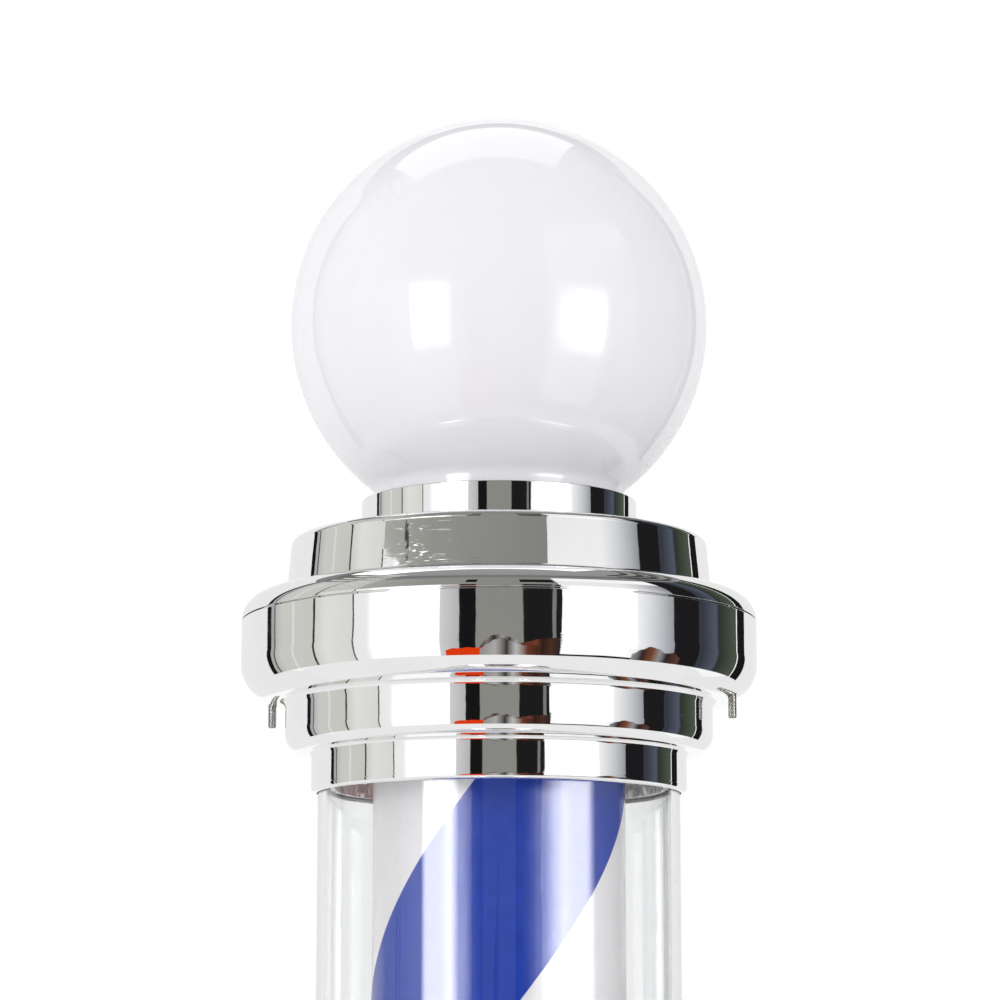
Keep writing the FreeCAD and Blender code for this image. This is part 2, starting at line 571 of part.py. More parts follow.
def bottom_plate():
    """The lower plate is also pierced for the motor shaft and its two screws."""
    low = PLATE_H - PAST
    high = PLATE_BACK + PAST
    disc = plate().cut(rod(SHAFT_HOLE_R, low, high, MOTOR_X))
    for y in (-MOTOR_EAR, MOTOR_EAR):
        disc = disc.cut(rod(M3[0] + THREAD_GAP, low, high, MOTOR_X, y))
    return disc


def centre_tube():
    """The threaded tube through both plates, slotted low down where the light's wire leaves it."""
    end = RIM_Z + CENTRE_END
    tube = ring(CENTRE_R, CENTRE_BORE_R, -end, end)
    slot = block((-CENTRE_R - PAST, 0), (-WIRE_SLOT_HALF, WIRE_SLOT_HALF), WIRE_SLOT_Z)
    return tube.cut(slot)


def centre_nuts():
    """Two nuts at each plate, one on either side."""
    inside = PLATE_H - WASHER_THICK - CENTRE_NUT_THICK
    outside = PLATE_BACK + WASHER_THICK
    bore_r = CENTRE_R + THREAD_GAP
    return [nut(CENTRE_NUT_FLATS, CENTRE_NUT_THICK, bore_r, low) for low in (inside, outside)]


def centre_washers():
    inside = PLATE_H - WASHER_THICK
    return [ring(WASHER_R, CENTRE_R + GAP, low, low + WASHER_THICK) for low in (inside, PLATE_BACK)]


# ---- Light inside the drum --------------------------------------------------------------------
def led_carrier():
    """A square aluminium profile on the centre tube."""
    half, end = CARRIER_WIDTH / 2, CARRIER_LENGTH / 2
    profile = block((-half, half), (-half, half), (-end, end))
    long_edges = [edge for edge in profile.Edges if edge.Length > CARRIER_WIDTH + PAST]
    profile = profile.makeFillet(CARRIER_EDGE, long_edges)
    return profile.cut(rod(CENTRE_R + GAP, -end - PAST, end + PAST))


def on_four_sides(shape):
    return [turned_by(shape, 90 * i) for i in range(4)]


def led_board():
    face = CARRIER_WIDTH / 2
    half = BOARD_WIDTH / 2
    end = BOARD_LENGTH / 2
    return block((face, face + BOARD_THICK), (-half, half), (-end, end))


def led_chips():
    """Chips evenly spaced along one board."""
    face = CARRIER_WIDTH / 2 + BOARD_THICK
    half = CHIP_SIZE / 2
    step = BOARD_LENGTH / CHIPS_PER_BOARD
    first = -BOARD_LENGTH / 2 + step / 2
    middles = [first + step * i for i in range(CHIPS_PER_BOARD)]
    return [block((face, face + CHIP_THICK), (-half, half), (z - half, z + half)) for z in middles]


# ---- Drum -------------------------------------------------------------------------------------
def drum_skin():
    """The printed sleeve."""
    end = RIM_Z + DRUM_END
    return ring(DRUM_R, DRUM_R - DRUM_WALL, -end, end)


def stripe(lower_edge_at_front):
    """A right-handed band on the sleeve, given by its lower edge's height at the front."""
    end = RIM_Z + DRUM_END
    inner_r = DRUM_R + STRIPE_STAND_OFF
    outer_r = inner_r + STRIPE_THICK
    start_z = lower_edge_at_front - 2 * STRIPE_PITCH
    helix = Part.makeHelix(STRIPE_PITCH, 4 * STRIPE_PITCH, inner_r)
    corners = [(inner_r, 0), (outer_r, 0), (outer_r, STRIPE_HEIGHT), (inner_r, STRIPE_HEIGHT)]
    section = Part.makePolygon([FreeCAD.Vector(r, 0, z) for r, z in corners + corners[:1]])
    band = Part.Wire(helix).makePipeShell([section], True, True)
    band = moved(turned_by(band, -90), z=start_z)
    return band.common(ring(outer_r + PAST, inner_r - PAST, -end, end))


def drum_hub():
    """A spoked end disc for the sleeve, from its outer face inwards."""
    outer = DRUM_END
    web_low = outer - HUB_WEB
    rim = ring(HUB_R, HUB_R - HUB_RIM_WALL, outer - HUB_RIM, outer)
    hub = rim.fuse(ring(HUB_MIDDLE_R, BUSH_R + RUNNING, web_low, outer))
    reach = (HUB_MIDDLE_R - SPOKE_OVERLAP, HUB_R - HUB_RIM_WALL + SPOKE_OVERLAP)
    spoke = block(reach, (-SPOKE_WIDTH / 2, SPOKE_WIDTH / 2), (web_low, outer))
    for i in range(SPOKES):
        hub = hub.fuse(turned_by(spoke, 360 * (i + 0.5) / SPOKES))
    for degrees in GEAR_SCREW_ANGLES:
        x, y = polar(GEAR_SCREW_R, degrees)[:2]
        hub = hub.cut(rod(M2[0] + THREAD_GAP, web_low - PAST, outer + PAST, x, y))
    return hub.removeSplitter()


def bush():
    """A flanged bush, from its flange into the hub."""
    foot = DRUM_END - HUB_RIM
    top = BUSH_FLANGE_H + BUSH_FLANGE
    solid = rod(BUSH_R, foot, BUSH_FLANGE_H).fuse(rod(BUSH_FLANGE_R, BUSH_FLANGE_H, top))
    return solid.cut(rod(CENTRE_R + RUNNING, foot - PAST, top + PAST)).removeSplitter()


def thrust_washer():
    """The slippery washer between a bush's flange and the nut."""
    low = BUSH_FLANGE_H + BUSH_FLANGE + RUNNING
    return ring(BUSH_FLANGE_R, CENTRE_R + RUNNING, low, PLATE_H - WASHER_THICK - CENTRE_NUT_THICK)


# ---- Gear drive -------------------------------------------------------------------------------
def involute(base_r, r):
    """The angle that an involute has turned through where it reaches radius r."""
    roll = math.sqrt(max(0.0, (r / base_r) ** 2 - 1))
    return roll - math.atan(roll)


def gear(teeth, low, high):
    """A spur gear with one tooth centred on +X."""
    pitch_r = MODULE * teeth / 2
    base_r = pitch_r * math.cos(PRESSURE_ANGLE)
    tip_r = pitch_r + MODULE
    root_r = pitch_r - DEDENDUM * MODULE
    start_r = max(base_r, root_r)
    half_tooth = math.pi / (2 * teeth) - BACKLASH / (4 * pitch_r) + involute(base_r, pitch_r)
    radii = [start_r + (tip_r - start_r) * i / FLANK_STEPS for i in range(FLANK_STEPS + 1)]
    flank = [(root_r, half_tooth)] if root_r < base_r else []
    flank += [(r, half_tooth - involute(base_r, r)) for r in radii]
    points = []
    for i in range(teeth):
        middle = 2 * math.pi * i / teeth
        points += [(r, middle - angle) for r, angle in flank]
        points += [(r, middle + angle) for r, angle in reversed(flank)]
    corners = [FreeCAD.Vector(r * math.cos(a), r * math.sin(a), low) for r, a in points]
    face = Part.Face(Part.makePolygon(corners + corners[:1]))
    return face.extrude(FreeCAD.Vector(0, 0, high - low))


def drum_gear():
    """The gear under the drum, on a boss that meets the hub."""
    high = GEAR_FACE_H + GEAR_FACE
    wheel = gear(GEAR_TEETH, GEAR_FACE_H, high).fuse(rod(GEAR_BOSS_R, DRUM_END, GEAR_FACE_H))
    wheel = wheel.cut(rod(BUSH_R + RUNNING, DRUM_END - PAST, high + PAST))
    for i in range(GEAR_OPENINGS):
        x, y = polar(GEAR_OPENING_CIRCLE_R, 360 * (i + 0.5) / GEAR_OPENINGS)[:2]
        wheel = wheel.cut(rod(GEAR_OPENING_R, DRUM_END - PAST, high + PAST, x, y))
    for degrees in GEAR_SCREW_ANGLES:
        x, y = polar(GEAR_SCREW_R, degrees)[:2]
        wheel = wheel.cut(rod(M2[0] + GAP, DRUM_END - PAST, high + PAST, x, y))
    return wheel.removeSplitter()


def motor_pinion():
    """The pinion, turned so that one of its gaps faces the drum gear's tooth."""
    face_top = PINION_FACE_H + PINION_FACE
    boss_top = PLATE_H - PINION_TO_PLATE
    half_pitch = 180 / PINION_TEETH
    teeth = turned_by(gear(PINION_TEETH, PINION_FACE_H, face_top), 180 + half_pitch)
    pinion = teeth.fuse(rod(PINION_BOSS_R, face_top, boss_top))
    pinion = pinion.cut(rod(SHAFT_R + THREAD_GAP, PINION_FACE_H - PAST, boss_top + PAST))
    return moved(pinion.removeSplitter(), MOTOR_X)


def motor_body():
    """A flat synchronous gear motor with two ears."""
    low = PLATE_BACK
    back = low + MOTOR_THICK
    ear_back = low + MOTOR_EAR_THICK
    can = rod(MOTOR_R, low, back)
    can = can.makeFillet(MOTOR_EDGE, [edge for edge in can.Edges if is_circle(edge, MOTOR_R, back)])
    ears = block((-MOTOR_EAR_R, MOTOR_EAR_R), (-MOTOR_EAR, MOTOR_EAR), (low, ear_back))
    for y in (-MOTOR_EAR, MOTOR_EAR):
        hole = rod(M3[0] + GAP, low - PAST, ear_back + PAST, 0, y)
        ears = ears.fuse(rod(MOTOR_EAR_R, low, ear_back, 0, y)).cut(hole)
    shaft_bore = rod(SHAFT_R + RUNNING, low - PAST, low + SHAFT_IN_MOTOR + PAST)
    return moved(can.fuse(ears).cut(shaft_bore).removeSplitter(), MOTOR_X)


def motor_shaft():
    return rod(SHAFT_R, PINION_FACE_H, PLATE_BACK + SHAFT_IN_MOTOR, MOTOR_X)


# ---- Electrical pieces in the lower cap -------------------------------------------------------
def led_driver():
    box = block(DRIVER_X, DRIVER_Y, (PLATE_BACK, PLATE_BACK + DRIVER_HIGH))
    return box.makeFillet(DRIVER_EDGE, box.Edges)


def terminal_block():
    """Three poles in a row, each with a screw well and a wire inlet."""
    top = PLATE_BACK + TERMINAL_HIGH
    row = block(TERMINAL_BOX_X, TERMINAL_BOX_Y, (PLATE_BACK, top))
    for x in TERMINAL_X:
        screw_z = PLATE_BACK + TERMINAL_SCREW_FLOOR
        inlet_z = (PLATE_BACK + TERMINAL_INLET_FLOOR, top + PAST)
        row = row.cut(rod(TERMINAL_SCREW_R, screw_z, top + PAST, x, TERMINAL_SCREW_Y))
        row = row.cut(block((x - TERMINAL_INLET_X, x + TERMINAL_INLET_X), TERMINAL_INLET_Y, inlet_z))
    return row


def switch_at(shape, name):
    """From the switch's own frame, X along the rocker and Z out of the cap, to its place."""
    laid = turned_by(shape, 90)
    return turned_by(moved(laid, SWITCH_R, 0, ROCKER_PIVOT_H), SWITCH_ANGLES[name])


def rocker():
    """A rocker with a shallow V face and a pin at each side, resting against one stop."""
    half = ROCKER_HALF_WIDTH
    pin_half = half + ROCKER_PIN_PAST
    corners = ROCKER_CORNERS + ROCKER_CORNERS[:1]
    outline = Part.makePolygon([FreeCAD.Vector(x, -half, z) for x, z in corners])
    body = Part.Face(outline).extrude(BACKWARD * (2 * half))
    pin = cross_rod(ROCKER_PIN_R, 2 * pin_half, (0, -pin_half, 0), BACKWARD)
    return turned_by(body.fuse(pin).removeSplitter(), ROCKER_TILT, ORIGIN, BACKWARD)


def switch_housing():
    """The snap-in housing that the rocker turns in."""
    face = TIER1_TOP - ROCKER_PIVOT_H
    top = face + BEZEL_THICK
    bezel = block((-BEZEL_X, BEZEL_X), (-BEZEL_Y, BEZEL_Y), (face, top))
    rim = [edge for edge in bezel.Edges if min(v.Z for v in edge.Vertexes) > top - BEZEL_EDGE]
    bezel = bezel.makeFillet(BEZEL_EDGE, rim)
    body = block((-HOUSING_X, HOUSING_X), (-HOUSING_Y, HOUSING_Y), (face - HOUSING_DEPTH, face))
    well = block((-WELL_X, WELL_X), (-WELL_Y, WELL_Y), (WELL_FLOOR, top + PAST))
    bore = cross_rod(ROCKER_PIN_R + RUNNING, PIN_BORE_LENGTH, (0, -PIN_BORE_LENGTH / 2, 0), BACKWARD)
    return bezel.fuse(body).cut(well).cut(bore).removeSplitter()


def bottom_lid():
    """The lower cap's lid, with openings for the switches and the cable gland."""
    half_x = HOUSING_X + GAP
    half_y = HOUSING_Y + GAP
    opening = block((-half_x, half_x), (-half_y, half_y), (-HOUSING_DEPTH, BEZEL_THICK + PAST))
    lid = cap_lid()
    for name in SWITCH_ANGLES:
        lid = lid.cut(switch_at(opening, name))
    gland_hole = rod(GLAND_THREAD_R + GAP, GLAND_IN, GLAND_OUT)
    return lid.cut(radial(gland_hole, 90, GLAND_H))


def cable_gland():
    """The strain-relief gland in the back of the lower lid."""
    thread = rod(GLAND_THREAD_R, GLAND_IN, GLAND_SEAT + PAST)
    body = thread.fuse(turned_by(hex_rod(GLAND_FLATS, GLAND_SEAT, GLAND_HEX_OUT), 30))
    nose = Outline(0, GLAND_HEX_OUT).line(GLAND_NOSE_R, GLAND_HEX_OUT).line(GLAND_NOSE_R, GLAND_NOSE)
    nose.line(GLAND_TIP_R, GLAND_OUT).line(0, GLAND_OUT)
    whole = body.fuse(nose.turned()).removeSplitter()
    bore = rod(GLAND_BORE_R, GLAND_IN - PAST, GLAND_OUT + PAST)
    return radial(whole.cut(bore), 90, GLAND_H)


def gland_nut():
    one = nut(GLAND_FLATS, GLAND_NUT_THICK, GLAND_THREAD_R + THREAD_GAP, GLAND_NUT_IN)
    return radial(turned_by(one, 30), 90, GLAND_H)


# ---- Wall rail and arms, in the wall's own frame ------------------------------------------------
def wall_rail():
    """A steel channel, open to the front."""
    half = RAIL_WIDTH / 2
    inner_half = half - RAIL_WEB
    end = RAIL_LENGTH / 2
    rail = block((-half, half), (-RAIL_FLANGE, 0), (-end, end))
    hollow = block((-inner_half, inner_half), (-RAIL_FLANGE - PAST, -RAIL_WEB), (-end - PAST, end + PAST))
    rail = rail.cut(hollow)
    start_y = -RAIL_WEB - PAST
    length = RAIL_WEB + 2 * PAST
    for x in (-1, 1):
        for z in (-1, 1):
            wall_hole = (x * RAIL_HOLE_X, start_y, z * RAIL_HOLE_Z)
            arm_hole = (x * RAIL_SCREW_X, start_y, z * (RIM_Z + RAIL_SCREW_H))
            rail = rail.cut(cross_rod(RAIL_HOLE_R, length, wall_hole, BACKWARD))
            rail = rail.cut(cross_rod(M4[0] + THREAD_GAP, length, arm_hole, BACKWARD))
    return rail


def arm():
    """A bent steel bracket from the rail to the back of the wide step, in the pole's frame."""
    half = ARM_WIDTH / 2
    back = AXIS_TO_WALL - RAIL_WEB
    heel_front = back - ARM_THICK
    strip = block((-half, half), (0, AXIS_TO_WALL), (ARM_LOW, ARM_FLANGE_TOP))
    saddle = ring(SADDLE_OUT, SADDLE_IN, ARM_LOW, ARM_FLANGE_TOP).common(strip)
    shelf = block((-half, half), (WIDE_R - SHELF_OVERLAP, back), (ARM_LOW, ARM_LOW + ARM_THICK))
    shelf = shelf.cut(rod(SADDLE_IN, ARM_LOW - PAST, ARM_FLANGE_TOP))
    heel = block((-half, half), (heel_front, back), (ARM_LOW, ARM_BACK_TOP))
    piece = saddle.fuse(shelf).fuse(heel)
    for degrees in CAP_SCREW_ANGLES:
        hole = rod(M4[0] + GAP, SADDLE_IN - PAST, SADDLE_OUT + PAST)
        piece = piece.cut(radial(hole, degrees, CAP_SCREW_H))
    for x in (-RAIL_SCREW_X, RAIL_SCREW_X):
        start = (x, heel_front - PAST, RAIL_SCREW_H)
        piece = piece.cut(cross_rod(M4[0] + GAP, ARM_THICK + 2 * PAST, start, BACKWARD))
    return piece.removeSplitter()


def rail_screw(x):
    """A short screw through an arm's heel into the rail's web."""
    seat = AXIS_TO_WALL - RAIL_WEB - ARM_THICK
    along_z = screw(M4, 0, RAIL_SCREW_LENGTH)
    laid = turned_by(along_z, -90, ORIGIN, ACROSS)
    return moved(laid, x, seat, RAIL_SCREW_H)


# ---- Every node ---------------------------------------------------------------------------------
def around(shape, r, angles):
    """Copies of an upright piece, one at each angle on a circle."""
    return [moved(shape, *polar(r, degrees)[:2]) for degrees in angles]


def pairs_in_caps(shapes):
    """Each of some shapes in the upper cap and again in the lower."""
    return [placed for shape in shapes for placed in in_both_caps(shape)]


def main():
    os.makedirs("parts", exist_ok=True)

    save("wall_rail", wall_rail(), on_pole=False)
    save("upper_arm", in_upper_cap(arm()))
    save("lower_arm", in_lower_cap(arm()))
    rail_screws = [rail_screw(x) for x in (-RAIL_SCREW_X, RAIL_SCREW_X)]
    save("rail_screws", *pairs_in_caps(rail_screws))
    cap_screw = screw(M4, SADDLE_OUT, WIDE_IN_R - CAP_SCREW_REACH)
    cap_screws = [radial(cap_screw, degrees, CAP_SCREW_H) for degrees in CAP_SCREW_ANGLES]
    save("cap_screws", *pairs_in_caps(cap_screws))
    nut_low = WIDE_IN_R - GAP - M4_NUT_THICK
    cap_nut = turned_by(nut(M4_NUT_FLATS, M4_NUT_THICK, M4[0] + THREAD_GAP, nut_low), 30)
    cap_nuts = [radial(cap_nut, degrees, CAP_SCREW_H) for degrees in CAP_SCREW_ANGLES]
    save("cap_nuts", *pairs_in_caps(cap_nuts))

    save("top_body", in_upper_cap(cap_body()))
    save("top_lid", in_upper_cap(top_lid()))
    save("bottom_body", in_lower_cap(cap_body()))
    save("bottom_lid", in_lower_cap(bottom_lid()))
    save("bottom_dome", in_lower_cap(bottom_dome()))
    lid_screw = screw(M3, LID_SCREW_SEAT, LID_SCREW_TIP)
    save("lid_screws", *pairs_in_caps(around(lid_screw, LID_SCREW_R, LID_SCREW_ANGLES)))
    lid_nut = nut(M3_NUT_FLATS, M3_NUT_THICK, M3[0] + THREAD_GAP, NUT_SEAT)
    save("lid_nuts", *pairs_in_caps(around(lid_nut, LID_SCREW_R, LID_SCREW_ANGLES)))

    save("globe_collar", in_upper_cap(globe_collar()))
    collar_screw = in_upper_cap(screw(M2, ROOF, COLLAR_TOP - COLLAR_SCREW_COVER))
    save("collar_screws", *around(collar_screw, COLLAR_SCREW_R, COLLAR_SCREW_ANGLES))
    save("globe", in_upper_cap(globe()))
    save("globe_gasket", in_upper_cap(ring(GLOBE_FLANGE_R, GASKET_IN_R, TIER1_TOP, GASKET_TOP)))
    save("lamp_bracket", in_upper_cap(lamp_bracket()))
    bracket_screw = in_upper_cap(screw(M3, ROOF - BRACKET_THICK, TIER1_TOP - GAP))
    save("bracket_screws", *[moved(bracket_screw, x) for x in BRACKET_SCREW_X])
    save("lamp_holder", in_upper_cap(lamp_holder()))
    save("lamp_cap", in_upper_cap(lamp_cap()))
    save("lamp_body", in_upper_cap(lamp_body()))
    save("lamp_envelope", in_upper_cap(lamp_envelope()))

    save("top_plate", in_upper_cap(top_plate()))
    save("bottom_plate", in_lower_cap(bottom_plate()))
    plate_screw = screw(M3, PLATE_BACK, PLATE_H - PLATE_SCREW_GRIP)
    save("plate_screws", *pairs_in_caps(around(plate_screw, PLATE_SCREW_R, PLATE_SCREW_ANGLES)))
    seal_in_r = TUBE_R - TUBE_WALL - SEAL_INNER_LIP
    seal = ring(TUBE_R, seal_in_r, TUBE_END, TUBE_END + SEAL_THICK)
    save("top_tube_seal", in_upper_cap(seal))
    save("bottom_tube_seal", in_lower_cap(seal))
    tube_end = RIM_Z + TUBE_END
    save("outer_tube", ring(TUBE_R, TUBE_R - TUBE_WALL, -tube_end, tube_end))
    save("centre_tube", centre_tube())
    save("centre_nuts", *pairs_in_caps(centre_nuts()))
    save("centre_washers", *pairs_in_caps(centre_washers()))
    save("thrust_washers", *in_both_caps(thrust_washer()))

    save("led_carrier", led_carrier())
    save("led_boards", *on_four_sides(led_board()))
    save("led_chips", *[side for chip in led_chips() for side in on_four_sides(chip)])

    save("drum_skin", drum_skin())
    save("stripe_blue", stripe(STRIPE_FRONT_Z))
    save("stripe_red", stripe(STRIPE_FRONT_Z + STRIPE_PITCH / 2))
    save("drum_top_hub", in_upper_cap(drum_hub()))
    save("drum_bottom_hub", in_lower_cap(drum_hub()))
    save("upper_bush", in_upper_cap(bush()))
    save("lower_bush", in_lower_cap(bush()))
    save("drum_gear", in_lower_cap(drum_gear()))
    gear_screw = in_lower_cap(screw(M2, GEAR_FACE_H + GEAR_FACE, DRUM_END - GEAR_SCREW_GRIP))
    save("gear_screws", *around(gear_screw, GEAR_SCREW_R, GEAR_SCREW_ANGLES))

    save("motor_body", in_lower_cap(motor_body()))
    save("motor_shaft", in_lower_cap(motor_shaft()))
    save("motor_pinion", in_lower_cap(motor_pinion()))
    motor_screw = in_lower_cap(screw(M3, PLATE_BACK + MOTOR_EAR_THICK, PLATE_H - PAST))
    save("motor_screws", *[moved(motor_screw, MOTOR_X, y) for y in (-MOTOR_EAR, MOTOR_EAR)])

    save("led_driver", in_lower_cap(led_driver()))
    save("terminal_block", in_lower_cap(terminal_block()))
    for name in SWITCH_ANGLES:
        save(f"{name}_switch_housing", in_lower_cap(switch_at(switch_housing(), name)))
        save(f"{name}_rocker", in_lower_cap(switch_at(rocker(), name)))
    save("cable_gland", in_lower_cap(cable_gland()))
    save("gland_nut", in_lower_cap(gland_nut()))

    save("lamp_lead", lead(LAMP_LEAD, LEAD_R))
    save("led_lead", lead(LED_LEAD, LEAD_R))
    save("motor_lead", lead(MOTOR_LEAD, LEAD_R))


main()
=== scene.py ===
import json
import math

import bmesh
import bpy
from mathutils import Matrix, Vector, noise


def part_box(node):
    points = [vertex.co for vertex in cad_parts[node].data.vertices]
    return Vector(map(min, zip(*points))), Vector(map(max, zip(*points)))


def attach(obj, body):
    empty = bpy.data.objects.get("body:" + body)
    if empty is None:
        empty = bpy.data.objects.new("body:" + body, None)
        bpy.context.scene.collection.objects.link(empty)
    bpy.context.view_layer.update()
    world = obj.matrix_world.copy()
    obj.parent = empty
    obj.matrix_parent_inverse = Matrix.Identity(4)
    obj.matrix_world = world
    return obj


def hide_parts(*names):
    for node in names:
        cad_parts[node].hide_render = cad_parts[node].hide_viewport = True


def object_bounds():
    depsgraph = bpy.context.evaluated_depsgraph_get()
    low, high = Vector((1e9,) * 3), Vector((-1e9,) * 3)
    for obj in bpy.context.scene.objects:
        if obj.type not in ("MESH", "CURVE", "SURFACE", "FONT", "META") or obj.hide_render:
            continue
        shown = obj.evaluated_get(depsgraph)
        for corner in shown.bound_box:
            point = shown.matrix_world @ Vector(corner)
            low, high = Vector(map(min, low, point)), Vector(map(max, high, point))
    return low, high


# A barber pole light: mirror-chromed caps, an opal globe, and a striped drum in a clear tube.
# Everything is in metres in the frame's own axes: +Z up, the front towards -Y. Outlines are in
# millimetres of radius and of height above a cap's rim, and are turned about the pole's axis.

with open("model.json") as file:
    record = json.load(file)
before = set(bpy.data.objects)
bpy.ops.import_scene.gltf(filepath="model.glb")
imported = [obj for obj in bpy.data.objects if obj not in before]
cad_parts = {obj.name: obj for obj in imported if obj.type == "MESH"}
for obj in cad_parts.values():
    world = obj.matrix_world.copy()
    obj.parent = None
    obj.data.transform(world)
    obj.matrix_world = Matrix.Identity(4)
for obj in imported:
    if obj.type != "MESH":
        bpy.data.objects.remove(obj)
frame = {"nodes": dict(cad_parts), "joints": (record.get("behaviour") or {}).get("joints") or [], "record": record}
CAD_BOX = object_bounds()
MM = 0.001

# ---- Places and sizes from the frame ------------------------------------------------------------
JOINTS = {joint["name"]: joint for joint in frame["joints"]}
AXIS = Vector((*JOINTS["drum_spin"]["pos_m"][:2], 0))
TUBE_LOW, TUBE_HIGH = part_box("outer_tube")
TUBE_END = 22.0
UPPER_RIM = TUBE_HIGH.z - TUBE_END * MM
LOWER_RIM = TUBE_LOW.z + TUBE_END * MM
SLOTS = {part["node"]: part["material_slot"] for part in frame["record"]["subparts"]}


def half_width(node):
    """A round node's radius in millimetres, from its box.

    Its facets cut the circle short by a few hundredths, so it is rounded to a tenth.
    """
    low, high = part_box(node)
    return round((high.x - low.x) / 2 / MM, 1)


TUBE_R = half_width("outer_tube")
WIDE_R = half_width("top_body")
COLLAR_R = half_width("globe_collar")
GLOBE_R = half_width("globe")
GLOBE_TOP = (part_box("globe")[1].z - UPPER_RIM) / MM
DRUM_R = half_width("drum_skin")
DRUM_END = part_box("drum_skin")[1].z

# ---- Sizes of the shells, in millimetres --------------------------------------------------------
SHELL = 2.5
SEAM_LOW, SEAM_HIGH, SEAM_ROUND = 60.8, 61.2, 0.3
RIM_LOW, TIER4_R, TIER4_TOP, BEAD, RIM_EDGE = -0.8, 67.5, 13.5, 2.2, 0.3
TIER3_R, TIER3_ROUND, TIER3_TOP = 77.0, 7.0, 32.0
WIDE_ROUND = 13.5
SHOULDER_ROUND, SHOULDER_TOP = 9.2, 70.3
TIER1_FOOT_R, TIER1_HEAD_R, TIER1_TOP, TIER1_ROUND = 77.0, 75.4, 90.5, 2.3
LID_OPENING_R = 40.0
COLLAR_TOP, COLLAR_ROUND = 105.2, 0.5
TUBE_WALL, DRUM_WALL = 3.0, 0.8
STRIPE_PITCH, STRIPE_HEIGHT = 370.0, 95.6
STRIPE_THICK, STRIPE_STAND_OFF = 0.2, 0.05
BLUE_FRONT_Z = 85.9

# ---- Fits of the shells, in millimetres ---------------------------------------------------------
TUBE_CLEARANCE = 0.3
LIP_DEPTH, LIP_IN_R, LIP_CLEARANCE = 3.7, 89.2, 0.2
SPIGOT_DEPTH, SPIGOT_CLEARANCE = 4.0, 0.2
SCREW_SEAT, SCREW_COUNTERBORE_R, SCREW_BOSS_R, SCREW_HOLE_R = 65.0, 2.95, 4.4, 1.7
PAST = 2.0
SWITCH_OPENING = (19.0, 13.0, 30.0)
GLAND_OPENING_R, GLAND_OPENING_LENGTH, GLAND_OPENING_REACH = 6.0, 20.0, 75.0

# ---- Fineness of the meshes ---------------------------------------------------------------------
AROUND, AROUND_INNER, AROUND_SMALL = 320, 256, 48
ARC_STEP = math.radians(2)
EDGE_MARGIN, WIDEST_MARGIN = 0.25, 0.4
SHARP = math.radians(35)
SAME, ON_AXIS = 1e-5, 1e-6


# ---- Mesh helpers -------------------------------------------------------------------------------
class Outline:
    """An outline of radius and height, drawn edge by edge."""

    def __init__(self, r, h):
        self.points = [(r, h)]

    def line(self, r, h):
        """A straight edge, with a point just inside each end so that its shading stays flat."""
        r0, h0 = self.points[-1]
        near = EDGE_MARGIN / math.hypot(r - r0, h - h0)
        if near < WIDEST_MARGIN:
            self.points += [(r0 + (r - r0) * t, h0 + (h - h0) * t) for t in (near, 1 - near)]
        self.points.append((r, h))
        return self

    def arc(self, centre_r, centre_h, r, h):
        """The shorter arc about a centre to (r, h)."""
        r0, h0 = self.points[-1]
        radius = math.hypot(r0 - centre_r, h0 - centre_h)
        first = math.atan2(h0 - centre_h, r0 - centre_r)
        sweep = math.remainder(math.atan2(h - centre_h, r - centre_r) - first, 2 * math.pi)
        steps = max(4, math.ceil(abs(sweep) / ARC_STEP))
        for i in range(1, steps):
            angle = first + sweep * i / steps
            self.points.append((centre_r + radius * math.cos(angle), centre_h + radius * math.sin(angle)))
        self.points.append((r, h))
        return self


def smooth(piece):
    """Smooth shading, except at sharp edges."""
    piece.data.polygons.foreach_set("use_smooth", [True] * len(piece.data.polygons))
    piece.data.set_sharp_from_angle(angle=SHARP)


def place_mesh(name, mesh):
    """A new object in the scene that shows a mesh."""
    piece = bpy.data.objects.new(name, mesh)
    bpy.context.scene.collection.objects.link(piece)
    return piece


def place_bmesh(name, bm):
    """A new object in the scene from a bmesh, which is used up."""
    mesh = bpy.data.meshes.new(name)
    bm.to_mesh(mesh)
    bm.free()
    return place_mesh(name, mesh)


def link(name, vertices, faces):
    """A new object from points in metres, facing outwards and smooth except at its sharp edges."""
    mesh = bpy.data.meshes.new(name)
    mesh.from_pydata(vertices, [], faces)
    bm = bmesh.new()
    bm.from_mesh(mesh)
    bmesh.ops.recalc_face_normals(bm, faces=bm.faces)
    bm.to_mesh(mesh)
    bm.free()
    piece = place_mesh(name, mesh)
    smooth(piece)
    return piece


def round_axis(r, angle, z):
    """A point at a radius in millimetres and an angle round the pole's axis, at a height in metres."""
    return (AXIS.x + r * MM * math.cos(angle), AXIS.y + r * MM * math.sin(angle), z)


def turned(name, outline, base, up=1, around=AROUND, centre=AXIS):
    """An outline turned about an upright axis. Its heights count from base, in metres, up or down."""
    points = outline.points
    closed = points[0][0] > 0
    if closed and math.dist(points[0], points[-1]) < ON_AXIS:
        points = points[:-1]
    vertices, rows = [], []
    for r, h in points:
        z = base + up * h * MM
        if r < ON_AXIS:
            rows.append([len(vertices)] * around)
            vertices.append((centre.x, centre.y, z))
            continue
        rows.append(list(range(len(vertices), len(vertices) + around)))
        for i in range(around):
            angle = 2 * math.pi * i / around
            vertices.append((centre.x + r * MM * math.cos(angle), centre.y + r * MM * math.sin(angle), z))
    faces = []
    pairs = list(zip(rows, rows[1:])) + ([(rows[-1], rows[0])] if closed else [])
    for lower, upper in pairs:
        for i in range(around):
            j = (i + 1) % around
            corners = [lower[i], lower[j], upper[j], upper[i]]
            face = [v for k, v in enumerate(corners) if v != corners[k - 1]]
            if len(face) > 2:
                faces.append(face)
    return link(name, vertices, faces)


